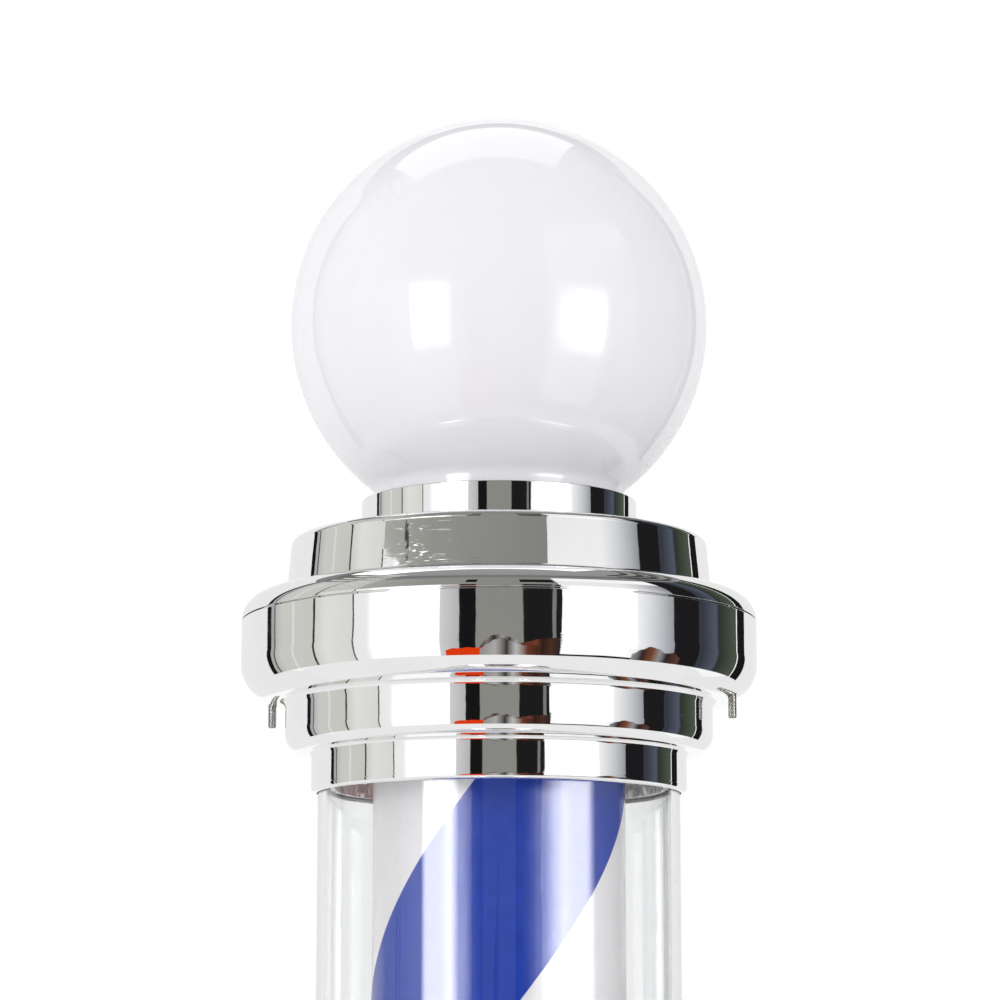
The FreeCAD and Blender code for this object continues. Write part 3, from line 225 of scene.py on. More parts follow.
def combine(piece, other, operation):
    """Joins or cuts a piece with another, which is used up."""
    modifier = piece.modifiers.new(operation, "BOOLEAN")
    modifier.operation = operation
    modifier.solver = "EXACT"
    modifier.object = other
    bpy.context.view_layer.update()
    evaluated = piece.evaluated_get(bpy.context.evaluated_depsgraph_get())
    mesh = bpy.data.meshes.new_from_object(evaluated)
    piece.modifiers.clear()
    piece.data = mesh
    bpy.data.objects.remove(other)
    smooth(piece)


def join(objects):
    """Puts several meshes into the first."""
    bm = bmesh.new()
    for piece in objects:
        bm.from_mesh(piece.data)
    bm.to_mesh(objects[0].data)
    bm.free()
    for piece in objects[1:]:
        bpy.data.objects.remove(piece)
    smooth(objects[0])


def tool_rod(r, low, high, middle, base, up):
    """An upright cylinder that a shell is cut or joined with."""
    outline = Outline(0, low).line(r, low).line(r, high).line(0, high)
    return turned("tool", outline, base, up, AROUND_SMALL, Vector((middle.x, middle.y, 0)))


def tool_block(size, place):
    """A block that a shell is cut with."""
    bm = bmesh.new()
    bmesh.ops.create_cube(bm, size=1, matrix=place @ Matrix.Diagonal((*size, 1)))
    return place_bmesh("tool", bm)


def settle(piece, look, body, slot, *nodes):
    """Gives a new piece its look, its body and the CAD nodes it stands for."""
    piece.data.materials.clear()
    piece.data.materials.append(look)
    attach(piece, body)
    if nodes:
        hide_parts(*nodes)


# ---- Materials ----------------------------------------------------------------------------------
class Look:
    """A material of one Principled shader whose colour, roughness and bump come from nodes."""

    def __init__(self, name, color, roughness, **sockets):
        self.material = bpy.data.materials.new(name)
        self.material.use_nodes = True
        self.nodes = self.material.node_tree.nodes
        self.links = self.material.node_tree.links
        self.shader = next(n for n in self.nodes if n.type == "BSDF_PRINCIPLED")
        self.height = None
        self.set("Base Color", (*color, 1))
        self.set("Roughness", roughness)
        for socket, value in sockets.items():
            self.set(socket.replace("_", " ").title().replace("Ior", "IOR"), value)

    def set(self, socket, value):
        """Fills a socket of the shader."""
        self.put(self.shader, socket, value)

    def put(self, node, socket, value):
        """Links a socket to another node's output, or sets its value."""
        if isinstance(value, bpy.types.NodeSocket):
            self.links.new(value, node.inputs[socket])
        else:
            node.inputs[socket].default_value = value

    def add(self, kind, inputs, **settings):
        """A new node with its inputs and settings; gives its outputs."""
        node = self.nodes.new("ShaderNode" + kind)
        for name, value in settings.items():
            setattr(node, name, value)
        for socket, value in inputs.items():
            self.put(node, socket, value)
        return node.outputs

    def place(self, stretch=(1, 1, 1), turn=(0, 0, 0)):
        """The surface's own coordinates, stretched and turned."""
        where = self.add("TexCoord", {})["Object"]
        return self.add("Mapping", {"Vector": where, "Scale": stretch, "Rotation": turn})["Vector"]

    def noise(self, scale, detail=2.0, stretch=(1, 1, 1), turn=(0, 0, 0), roughness=0.5):
        """Cloudy noise, about 0.5 on average."""
        vector = self.place(stretch, turn)
        return self.add("TexNoise", {"Vector": vector, "Scale": scale, "Detail": detail,
                                     "Roughness": roughness})["Fac"]

    def cells(self, scale, stretch=(1, 1, 1)):
        """Rounded grains: the distance to the nearest of many scattered points."""
        return self.add("TexVoronoi", {"Vector": self.place(stretch), "Scale": scale})["Distance"]

    def span(self, value, low, high, to_low, to_high):
        """A value's range stretched to another, and held at its ends."""
        return self.add("MapRange", {"Value": value, "From Min": low, "From Max": high,
                                     "To Min": to_low, "To Max": to_high})["Result"]

    def math(self, operation, a, b):
        """Two values put together."""
        return self.add("Math", {0: a, 1: b}, operation=operation)["Value"]

    def near(self, point, radius, stretch=(1, 1, 1)):
        """1 at a point of the surface, falling to 0 at a radius from it."""
        middle = [c * k for c, k in zip(point, stretch)]
        away = self.add("VectorMath", {0: self.place(stretch), 1: middle}, operation="DISTANCE")["Value"]
        return self.span(away, radius, 0, 0, 1)

    def tint(self, value, low_color, high_color):
        """The base colour runs from one colour to another with a value from 0 to 1."""
        ramp = self.nodes.new("ShaderNodeValToRGB")
        ramp.color_ramp.elements[0].color = (*low_color, 1)
        ramp.color_ramp.elements[1].color = (*high_color, 1)
        self.links.new(value, ramp.inputs["Fac"])
        self.set("Base Color", ramp.outputs["Color"])

    def darken(self, value, color):
        """The base colour goes over to another where a value nears 1."""
        before = self.shader.inputs["Base Color"].links[0].from_socket
        mixed = self.add("MixRGB", {"Fac": value, "Color1": before, "Color2": (*color, 1)})
        self.set("Base Color", mixed["Color"])

    def bump(self, value, depth):
        """Adds relief of a depth in metres."""
        sockets = {"Height": value, "Distance": depth, "Strength": 1.0}
        if self.height is not None:
            sockets["Normal"] = self.height
        self.height = self.add("Bump", sockets)["Normal"]
        self.set("Normal", self.height)


# The rubbed patch on the upper lid, and the nick in it, in metres
SCUFF = Vector((-0.028, AXIS.y - 0.071, UPPER_RIM + 0.0815))
SCUFF_R = 0.019
NICK = SCUFF + Vector((-0.0035, 0, 0))
NICK_HALF_WIDTH, NICK_STRETCH = 0.0009, (1, 0.05, 0.09)


def chrome(name, scuffed=False):
    """Mirror plating over moulded plastic: faintly wavy, wiped, with a few fine scratches.

    A scuffed one also has a patch of rubbed plating and one dark upright nick in it.
    """
    look = Look(name, (0.93, 0.93, 0.93), 0.03, metallic=1.0)
    film = look.noise(60, 3, roughness=0.6)
    look.tint(look.span(film, 0.35, 0.7, 0, 1), (0.93, 0.93, 0.925), (0.9, 0.9, 0.905))
    streaks = look.noise(40, 2, (1, 1, 40), (0.25, 0.15, 0))
    crossing = look.noise(35, 2, (1, 1, 60), (-0.5, 0.4, 0))
    fine = look.math("MAXIMUM", look.span(streaks, 0.66, 0.74, 0, 1), look.span(crossing, 0.7, 0.76, 0, 1))
    patches = look.span(look.noise(28, 2), 0.56, 0.7, 0, 1)
    marks = look.math("MULTIPLY", fine, patches)
    if scuffed:
        scratches = look.span(look.noise(330, 4, (1, 1, 5), (0.1, 0.25, 0)), 0.57, 0.66, 0, 1)
        smear = look.span(look.noise(75, 3, (1, 1, 1.6), (0, 0.5, 0)), 0.5, 0.66, 0, 1)
        cloud = look.math("MULTIPLY", look.math("MULTIPLY", scratches, smear), look.near(SCUFF, SCUFF_R))
        marks = look.math("MAXIMUM", marks, cloud)
        jagged = look.span(look.noise(700, 2, (1, 1, 0.5)), 0.42, 0.56, 0, 1)
        nick = look.span(look.near(NICK, NICK_HALF_WIDTH, NICK_STRETCH), 0, 0.4, 0, 1)
        look.darken(look.math("MULTIPLY", nick, jagged), (0.16, 0.16, 0.155))
    base = look.span(film, 0.3, 0.75, 0.012, 0.05)
    look.set("Roughness", look.math("ADD", base, look.math("MULTIPLY", marks, 0.3)))
    look.bump(look.noise(30, 1), 0.00009)
    look.bump(look.noise(75, 2), 0.00002)
    look.bump(look.noise(190, 2), 0.000005)
    look.bump(marks, 0.000006)
    return look.material


def opal(name):
    """Glossy opal acrylic."""
    look = Look(name, (0.93, 0.915, 0.945), 0.05, ior=1.49, subsurface_weight=0.1,
                subsurface_radius=(1.0, 1.0, 1.0), subsurface_scale=0.001)
    cloud = look.noise(9, 3, roughness=0.4)
    look.tint(look.span(cloud, 0.35, 0.65, 0, 1), (0.925, 0.91, 0.945), (0.94, 0.93, 0.955))
    look.set("Roughness", look.span(look.noise(45, 3), 0.3, 0.7, 0.035, 0.08))
    look.bump(look.noise(30, 1), 0.00002)
    return look.material


def clear(name):
    """Clear polished acrylic."""
    look = Look(name, (0.985, 0.99, 0.99), 0.0, ior=1.49, transmission_weight=1.0)
    haze = look.noise(25, 4, (1, 1, 0.25), roughness=0.6)
    look.tint(look.span(haze, 0.3, 0.7, 0, 1), (0.985, 0.99, 0.99), (0.97, 0.98, 0.985))
    look.set("Roughness", look.span(haze, 0.45, 0.75, 0.0, 0.025))
    look.bump(look.noise(14, 1, (1, 1, 0.3)), 0.00003)
    return look.material


def printed_film(name, color, faded, roughness=0.19):
    """Printed film on the drum: even ink with a faint grain."""
    look = Look(name, color, roughness, ior=1.47)
    ink = look.noise(220, 4, roughness=0.6)
    look.tint(look.span(ink, 0.3, 0.7, 0, 1), color, faded)
    smears = look.noise(60, 3, (1, 1, 0.2))
    look.set("Roughness", look.span(smears, 0.3, 0.7, roughness - 0.05, roughness + 0.08))
    look.bump(ink, 0.000008)
    return look.material


def scaled(color, factor):
    """A colour made lighter or darker."""
    return tuple(min(1.0, c * factor) for c in color)


def satin_steel(name, color=(0.6, 0.6, 0.6), along=(1, 1, 0.02)):
    """Rolled steel with a fine grain along one way."""
    look = Look(name, color, 0.3, metallic=1.0)
    grain = look.noise(900, 3, along)
    cloud = look.noise(35, 3)
    streaks = look.math("MULTIPLY", look.span(grain, 0.2, 0.8, 0, 1.2), look.span(cloud, 0.2, 0.8, 0.6, 1.2))
    look.tint(streaks, scaled(color, 0.86), scaled(color, 1.12))
    look.set("Roughness", look.span(grain, 0.3, 0.7, 0.24, 0.42))
    look.bump(grain, 0.00001)
    return look.material


def bright_metal(name, color, roughness=0.2):
    """Plated small parts with a slightly mottled finish."""
    look = Look(name, color, roughness, metallic=1.0)
    mottle = look.noise(420, 4, roughness=0.65)
    look.tint(look.span(mottle, 0.3, 0.7, 0, 1), scaled(color, 0.82), color)
    look.set("Roughness", look.span(mottle, 0.3, 0.7, roughness * 0.7, roughness * 1.5))
    look.bump(look.noise(1500, 2), 0.000006)
    return look.material


def foil(name):
    """Crumpled bright foil."""
    look = Look(name, (0.95, 0.95, 0.96), 0.34, metallic=0.45)
    folds = look.cells(190, (1, 1, 0.6))
    creases = look.noise(420, 3, (1, 1, 0.5))
    look.tint(look.span(creases, 0.3, 0.7, 0, 1), (0.92, 0.92, 0.93), (0.98, 0.98, 0.98))
    look.set("Roughness", look.span(creases, 0.3, 0.7, 0.18, 0.4))
    look.bump(folds, 0.0004)
    look.bump(creases, 0.0001)
    return look.material


def moulded(name, color, roughness=0.42, grain=2400):
    """Moulded plastic with a spark-eroded grain."""
    look = Look(name, color, roughness, ior=1.5)
    cloud = look.noise(90, 3)
    look.tint(look.span(cloud, 0.3, 0.7, 0, 1), scaled(color, 0.9), scaled(color, 1.06))
    look.set("Roughness", look.span(look.noise(300, 3), 0.3, 0.7, roughness - 0.08, roughness + 0.1))
    look.bump(look.cells(grain), 0.00001)
    return look.material


def circuit_board(name):
    """White solder mask over copper tracks."""
    look = Look(name, (0.88, 0.88, 0.86), 0.3, ior=1.5)
    tracks = look.span(look.noise(260, 1, (1, 1, 0.08)), 0.5, 0.54, 0, 1)
    look.tint(tracks, (0.88, 0.88, 0.86), (0.8, 0.81, 0.78))
    look.bump(tracks, 0.00003)
    return look.material


# Each material slot of the record, with its kind of finish and what sets it apart.
FINISHES = {
    "rail_steel": (satin_steel, (0.62, 0.62, 0.61)),
    "fastener_steel": (bright_metal, (0.68, 0.68, 0.67), 0.16),
    "chrome_shell": (chrome,),
    "opal_globe": (opal,),
    "seal_rubber": (moulded, (0.02, 0.02, 0.02), 0.6),
    "plate_steel": (satin_steel, (0.66, 0.66, 0.65), (1, 0.03, 1)),
    "lamp_plastic": (moulded, (0.8, 0.8, 0.78), 0.38),
    "lamp_cap_metal": (bright_metal, (0.72, 0.7, 0.66), 0.25),
    "lamp_frost": (moulded, (0.88, 0.88, 0.87), 0.55, 1800),
    "clear_tube": (clear,),
    "carrier_aluminium": (satin_steel, (0.78, 0.78, 0.79)),
    "led_board_white": (circuit_board,),
    "led_chip": (moulded, (0.86, 0.62, 0.12), 0.3),
    "drum_white": (printed_film, (0.93, 0.9, 0.91), (0.9, 0.87, 0.88)),
    "stripe_blue": (printed_film, (0.006, 0.044, 0.4), (0.01, 0.054, 0.45)),
    "stripe_red": (printed_film, (0.55, 0.012, 0.018), (0.6, 0.02, 0.024)),
    "hub_plastic": (moulded, (0.78, 0.77, 0.74)),
    "bush_brass": (bright_metal, (0.75, 0.52, 0.22), 0.3),
    "gear_plastic": (moulded, (0.82, 0.81, 0.76), 0.35),
    "motor_steel": (satin_steel, (0.6, 0.59, 0.55), (0.03, 1, 1)),
    "driver_plastic": (moulded, (0.82, 0.82, 0.81)),
    "terminal_plastic": (moulded, (0.75, 0.75, 0.68)),
    "switch_black": (moulded, (0.016, 0.016, 0.017), 0.34),
    "gland_plastic": (moulded, (0.02, 0.02, 0.02), 0.4),
    "lead_white": (moulded, (0.8, 0.8, 0.8), 0.4),
    "lead_red": (moulded, (0.5, 0.02, 0.02), 0.4),
    "lead_black": (moulded, (0.02, 0.02, 0.02), 0.4),
}
LOOKS = {slot: finish(slot, *settings) for slot, (finish, *settings) in FINISHES.items()}


# ---- Chromed shells -----------------------------------------------------------------------------
def body_outline():
    """Tiers 4 and 3 and the wide step up to the seam, and back down inside."""
    hole, fillet = TUBE_R + TUBE_CLEARANCE, 1.6
    wide_r, wide_h = WIDE_R - WIDE_ROUND, TIER3_TOP + WIDE_ROUND
    tier3_r, tier3_h = TIER3_R - TIER3_ROUND, TIER4_TOP + TIER3_ROUND
    step = wide_r - TIER3_R
    inner3, inner_wide = TIER3_R - SHELL, WIDE_R - SHELL
    outline = Outline(hole, RIM_LOW + RIM_EDGE)
    outline.arc(hole + RIM_EDGE, RIM_LOW + RIM_EDGE, hole + RIM_EDGE, RIM_LOW)
    outline.arc(TIER4_R - BEAD, RIM_LOW + BEAD, TIER4_R, RIM_LOW + BEAD).line(TIER4_R, TIER4_TOP - fillet)
    outline.arc(TIER4_R + fillet, TIER4_TOP - fillet, TIER4_R + fillet, TIER4_TOP)
    outline.line(tier3_r, TIER4_TOP).arc(tier3_r, tier3_h, TIER3_R, tier3_h)
    outline.line(TIER3_R, TIER3_TOP - step).arc(wide_r, TIER3_TOP - step, wide_r, TIER3_TOP)
    outline.arc(wide_r, wide_h, WIDE_R, wide_h).line(WIDE_R, SEAM_LOW - SEAM_ROUND)
    outline.arc(WIDE_R - SEAM_ROUND, SEAM_LOW - SEAM_ROUND, WIDE_R - SEAM_ROUND, SEAM_LOW)
    outline.line(inner_wide, SEAM_LOW).line(inner_wide, wide_h)
    outline.arc(wide_r, wide_h, wide_r, TIER3_TOP + SHELL)
    outline.line(inner3, TIER3_TOP + SHELL).line(inner3, tier3_h)
    outline.arc(tier3_r, tier3_h, tier3_r, TIER4_TOP + SHELL)
    return outline.line(hole, TIER4_TOP + SHELL).line(hole, RIM_LOW + RIM_EDGE)


def lid_outline():
    """The shoulder and tier 1 above the seam, and back down inside to the lip that fits the body."""
    round_r, round_h = WIDE_R - SHOULDER_ROUND, SHOULDER_TOP - SHOULDER_ROUND
    foot_fillet = 0.6
    foot_h, head_r, head_h = SHOULDER_TOP + foot_fillet, TIER1_HEAD_R - TIER1_ROUND, TIER1_TOP - TIER1_ROUND
    roof = TIER1_TOP - SHELL
    lip_out, lip_low = WIDE_R - SHELL - LIP_CLEARANCE, SEAM_HIGH - LIP_DEPTH
    inner_round = SHOULDER_ROUND - SHELL
    lip_h = round_h + math.sqrt(inner_round ** 2 - (LIP_IN_R - round_r) ** 2)
    first_h = SEAM_HIGH + SEAM_ROUND
    first_r = round_r + math.sqrt(SHOULDER_ROUND ** 2 - (first_h - round_h) ** 2)
    outline = Outline(WIDE_R - SEAM_ROUND, SEAM_HIGH)
    outline.arc(WIDE_R - SEAM_ROUND, first_h, first_r, first_h)
    outline.arc(round_r, round_h, round_r, SHOULDER_TOP).line(TIER1_FOOT_R + foot_fillet, SHOULDER_TOP)
    outline.arc(TIER1_FOOT_R + foot_fillet, foot_h, TIER1_FOOT_R, foot_h).line(TIER1_HEAD_R, head_h)
    outline.arc(head_r, head_h, head_r, TIER1_TOP)
    outline.line(LID_OPENING_R, TIER1_TOP).line(LID_OPENING_R, roof).line(TIER1_HEAD_R - SHELL, roof)
    outline.line(TIER1_FOOT_R - SHELL, SHOULDER_TOP - SHELL).line(round_r, SHOULDER_TOP - SHELL)
    outline.arc(round_r, round_h, LIP_IN_R, lip_h).line(LIP_IN_R, lip_low).line(lip_out, lip_low)
    return outline.line(lip_out, SEAM_HIGH).line(WIDE_R - SEAM_ROUND, SEAM_HIGH)


def collar_outline():
    """The ring round the globe's neck, stepped inside over the neck's flange."""
    neck_r, flange_r, step, rim_round = 45.5, 46.8, 94.8, 0.8
    outline = Outline(COLLAR_R, TIER1_TOP).line(COLLAR_R, COLLAR_TOP - COLLAR_ROUND)
    outline.arc(COLLAR_R - COLLAR_ROUND, COLLAR_TOP - COLLAR_ROUND, COLLAR_R - COLLAR_ROUND, COLLAR_TOP)
    outline.line(neck_r + rim_round, COLLAR_TOP)
    outline.arc(neck_r + rim_round, COLLAR_TOP - rim_round, neck_r, COLLAR_TOP - rim_round)
    outline.line(neck_r, step).line(flange_r, step).line(flange_r, TIER1_TOP)
    return outline.line(COLLAR_R, TIER1_TOP)


def dome_outline():
    """The stepped dome that closes the lower cap, with its spigot."""
    step_h, edge_round, wall = 98.0, 1.5, 2.0
    dome_r, dome_h = 44.0, (LOWER_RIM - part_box("bottom_dome")[0].z) / MM
    sphere_r = (dome_r ** 2 + (dome_h - step_h) ** 2) / (2 * (dome_h - step_h))
    centre_h = dome_h - sphere_r
    spigot_out, spigot_in = LID_OPENING_R - SPIGOT_CLEARANCE, LID_OPENING_R - wall
    spigot_low = TIER1_TOP - SPIGOT_DEPTH
    join_h = centre_h + math.sqrt((sphere_r - wall) ** 2 - spigot_in ** 2)
    outline = Outline(0, dome_h).arc(0, centre_h, dome_r, step_h).line(COLLAR_R - edge_round, step_h)
    outline.arc(COLLAR_R - edge_round, step_h - edge_round, COLLAR_R, step_h - edge_round)
    outline.line(COLLAR_R, TIER1_TOP).line(COLLAR_R - wall, TIER1_TOP).line(COLLAR_R - wall, step_h - wall)
    outline.line(spigot_out, step_h - wall).line(spigot_out, spigot_low).line(spigot_in, spigot_low)
    return outline.line(spigot_in, join_h).arc(0, centre_h, 0, dome_h - wall)


def screw_boxes(node):
    """The lowest and highest corners of each separate solid of a node."""
    mesh = bmesh.new()
    mesh.from_mesh(frame["nodes"][node].data)
    bmesh.ops.remove_doubles(mesh, verts=mesh.verts, dist=SAME)
    left = set(mesh.verts)
    boxes = []
    while left:
        todo, group = [left.pop()], []
        while todo:
            vertex = todo.pop()
            group.append(vertex.co.copy())
            for edge in vertex.link_edges:
                other = edge.other_vert(vertex)
                if other in left:
                    left.remove(other)
                    todo.append(other)
        sides = list(zip(*group))
        boxes.append((Vector([min(side) for side in sides]), Vector([max(side) for side in sides])))
    mesh.free()
    return sorted(boxes, key=lambda box: tuple(round(v, 4) for v in box[0]))


def make_caps():
    """The upper cap and the lower one, which is the same moulding turned over."""
    chrome_look = LOOKS["chrome_shell"]
    for end, base, up in (("top", UPPER_RIM, 1), ("bottom", LOWER_RIM, -1)):
        body = turned(f"{end}_cap_body", body_outline(), base, up)
        lid = turned(f"{end}_cap_lid", lid_outline(), base, up)
        for low, high in screw_boxes("lid_screws"):
            middle = (low + high) / 2
            if (middle.z - base) * up > 0:
                fit_lid_screw(body, lid, middle, base, up)
        look = chrome_look
        if end == "top":
            look = chrome("chrome_lid", scuffed=True)
        else:
            cut_lower_lid(lid)
        settle(body, chrome_look, "pole", "chrome_shell", f"{end}_body")
        settle(lid, look, "pole", "chrome_shell", f"{end}_lid")
    collar = turned("collar_ring", collar_outline(), UPPER_RIM)
    settle(collar, chrome_look, "pole", "chrome_shell", "globe_collar")
    dome = turned("lower_dome", dome_outline(), LOWER_RIM, -1)
    settle(dome, chrome_look, "pole", "chrome_shell", "bottom_dome")


def fit_lid_screw(body, lid, middle, base, up):
    """A boss with a counterbore in the lid, and a hole through the body's wide step."""
    boss_low, boss_high = SEAM_HIGH + 0.3, SHOULDER_TOP - 1.5
    hole_low, hole_high = TIER3_TOP - 3, TIER3_TOP + 8
    combine(lid, tool_rod(SCREW_BOSS_R, boss_low, boss_high, middle, base, up), "UNION")
    bore = tool_rod(SCREW_COUNTERBORE_R, SCREW_SEAT, SHOULDER_TOP + PAST, middle, base, up)
    combine(lid, bore, "DIFFERENCE")
    combine(body, tool_rod(SCREW_HOLE_R, hole_low, hole_high, middle, base, up), "DIFFERENCE")


def cut_lower_lid(lid):
    """Openings for the two switches and the cable gland."""
    for joint in ("light_switch", "spin_switch"):
        size = [side * MM for side in SWITCH_OPENING]
        combine(lid, tool_block(size, switch_frame(joint)), "DIFFERENCE")
    low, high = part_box("cable_gland")
    middle = Vector(((low.x + high.x) / 2, AXIS.y + GLAND_OPENING_REACH * MM, (low.z + high.z) / 2))
    bm = bmesh.new()
    bmesh.ops.create_cone(bm, cap_ends=True, segments=AROUND_SMALL, radius1=GLAND_OPENING_R * MM,
                          radius2=GLAND_OPENING_R * MM, depth=GLAND_OPENING_LENGTH * MM,
                          matrix=Matrix.Translation(middle) @ Matrix.Rotation(math.pi / 2, 4, "X"))
    combine(lid, place_bmesh("tool", bm), "DIFFERENCE")


def switch_frame(joint):
    """A rocker's frame: its pin along Y, its length along X and its face towards +Z, out of the cap."""
    pin = Vector(JOINTS[joint]["axis"]).normalized()
    out = Vector((0, 0, -1))
    along = pin.cross(out)
    turn = Matrix((along, pin, out)).transposed().to_4x4()
    return Matrix.Translation(JOINTS[joint]["pos_m"]) @ turn


# ---- Globe, tube and drum -----------------------------------------------------------------------
def make_globe():
    """The opal ball, hollow, with its neck and the flange that the collar holds down."""
    neck_r, wall, flange_r, foot, flange, blend = 45.2, 2.5, 46.6, 92.4, 2.0, 5.0
    centre_h = GLOBE_TOP - GLOBE_R
    inner_r = GLOBE_R - wall
    blend_h = centre_h - math.sqrt((GLOBE_R + blend) ** 2 - (neck_r + blend) ** 2)
    share = GLOBE_R / (GLOBE_R + blend)
    join_r, join_h = (neck_r + blend) * share, centre_h + (blend_h - centre_h) * share
    inner_join = centre_h - math.sqrt(inner_r ** 2 - (neck_r - wall) ** 2)
    outline = Outline(0, GLOBE_TOP)
    outline.arc(0, centre_h, GLOBE_R, centre_h).arc(0, centre_h, join_r, join_h)
    outline.arc(neck_r + blend, blend_h, neck_r, blend_h)
    outline.line(neck_r, foot + flange).line(flange_r, foot + flange).line(flange_r, foot)
    outline.line(neck_r - wall, foot).line(neck_r - wall, inner_join)
    outline.arc(0, centre_h, inner_r, centre_h).arc(0, centre_h, 0, GLOBE_TOP - wall)
    globe = turned("opal_ball", outline, UPPER_RIM, 1, AROUND_INNER)
    settle(globe, LOOKS["opal_globe"], "pole", "opal_globe", "globe")


def make_tube():
    """The clear tube, with polished edges at its ends."""
    polish, top = 0.4, TUBE_END
    bottom = (TUBE_LOW.z - UPPER_RIM) / MM
    inner = TUBE_R - TUBE_WALL
    outline = Outline(TUBE_R, bottom + polish).line(TUBE_R, top - polish).line(TUBE_R - polish, top)
    outline.line(inner + polish, top).line(inner, top - polish).line(inner, bottom + polish)
    outline.line(inner + polish, bottom).line(TUBE_R - polish, bottom).line(TUBE_R, bottom + polish)
    tube = turned("clear_outer_tube", outline, UPPER_RIM, 1, AROUND_INNER)
    settle(tube, LOOKS["clear_tube"], "pole", "clear_tube", "outer_tube")
    tube.visible_shadow = False


def make_foil():
    """Foil against the inside of the top plate's flange, creased along and across."""
    outer, middle, thinnest, crease = 59.6, 59.1, 0.05, 0.35
    low, high, rows = 0.7, 21.0, 16
    folds_round, folds_up, finer = 20, 0.45, 3.1
    vertices, faces = [], []
    for i in range(rows + 1):
        h = low + (high - low) * i / rows
        for k in range(AROUND):
            angle = 2 * math.pi * k / AROUND
            place = Vector((math.cos(angle) * folds_round, math.sin(angle) * folds_round, h * folds_up))
            fold = abs(noise.noise(place)) * 2 - 0.5 + 0.5 * noise.noise(place * finer)
            for r in (outer, min(outer - thinnest, middle + crease * fold)):
                vertices.append(round_axis(r, angle, UPPER_RIM + h * MM))
    for k in range(AROUND):
        columns = [[(i * AROUND + column % AROUND) * 2 for i in range(rows + 1)] for column in (k, k + 1)]
        for i in range(rows):
            for side in (0, 1):
                corners = (columns[0][i], columns[1][i], columns[1][i + 1], columns[0][i + 1])
                faces.append([corner + side for corner in corners])
        for i in (0, rows):
            faces.append([columns[0][i], columns[1][i], columns[1][i] + 1, columns[0][i] + 1])
    settle(link("foil_liner", vertices, faces), foil("foil_liner"), "pole", "plate_steel")


def make_drum():
    """The white sleeve and its two printed bands, half a turn apart."""
    end, inner, lip = DRUM_END / MM, DRUM_R - DRUM_WALL, 0.25
    outline = Outline(DRUM_R, -end + lip).line(DRUM_R, end - lip).line(DRUM_R - lip, end).line(inner, end)
    outline.line(inner, -end).line(DRUM_R - lip, -end).line(DRUM_R, -end + lip)
    drum = turned("drum_sleeve", outline, 0, 1, AROUND_INNER)
    settle(drum, LOOKS["drum_white"], "drum", "drum_white", "drum_skin")
    make_stripe("blue_band", BLUE_FRONT_Z, end, "stripe_blue")
    make_stripe("red_band", BLUE_FRONT_Z + STRIPE_PITCH / 2, end, "stripe_red")


def make_stripe(name, front_z, end, node):
    """A right-handed printed band, cut level with the drum's ends."""
    inner, outer = DRUM_R + STRIPE_STAND_OFF, DRUM_R + STRIPE_STAND_OFF + STRIPE_THICK
    narrowest = 0.05
    first = math.floor((-end - STRIPE_HEIGHT - front_z) / STRIPE_PITCH * 360)
    last = math.ceil((end - front_z) / STRIPE_PITCH * 360)
    vertices, faces, columns = [], [], []
    for degrees in range(first, last + 1):
        low = front_z + STRIPE_PITCH * degrees / 360
        high = min(low + STRIPE_HEIGHT, end)
        low = max(low, -end)
        if high - low > narrowest:
            angle = math.radians(degrees - 90)
            columns.append(list(range(len(vertices), len(vertices) + 4)))
            for r, z in ((inner, low), (outer, low), (outer, high), (inner, high)):
                vertices.append(round_axis(r, angle, z * MM))
    for before, after in zip(columns, columns[1:]):
        for i in range(4):
            j = (i + 1) % 4
            faces.append([before[i], before[j], after[j], after[i]])
    faces += [columns[0], columns[-1][::-1]]
    band = link(name, vertices, faces)
    settle(band, LOOKS[node], "drum", node, node)


# ---- Screws -------------------------------------------------------------------------------------
def threaded(r, depth, pitch, length, thread_end):
    """Points and faces of a shank along Z from 0, in millimetres, with a helical thread up to a height."""
    around, rows_a_pitch = AROUND_SMALL // 2, 6
    groove_slope = 1.6
    lead_in, lead_slope = 0.5, 0.6
    count = int(length / (pitch / rows_a_pitch)) + 1
    vertices, faces = [], []
    for i in range(count + 1):
        z = length * i / count
        taper = max(0.0, lead_in - z) * lead_slope
        for k in range(around):
            phase = (z / pitch - k / around) % 1.0
            cut = depth * max(0, 1 - abs(2 * phase - 1) * groove_slope) if z <= thread_end else 0
            angle = 2 * math.pi * k / around
            here = r - cut - taper
            vertices.append((here * math.cos(angle), here * math.sin(angle), z))
    for i in range(count):
        for k in range(around):
            j = (k + 1) % around
            faces.append([i * around + k, i * around + j, (i + 1) * around + j, (i + 1) * around + k])
    faces.append(list(range(around))[::-1])
    faces.append([count * around + k for k in range(around)])
    return vertices, faces


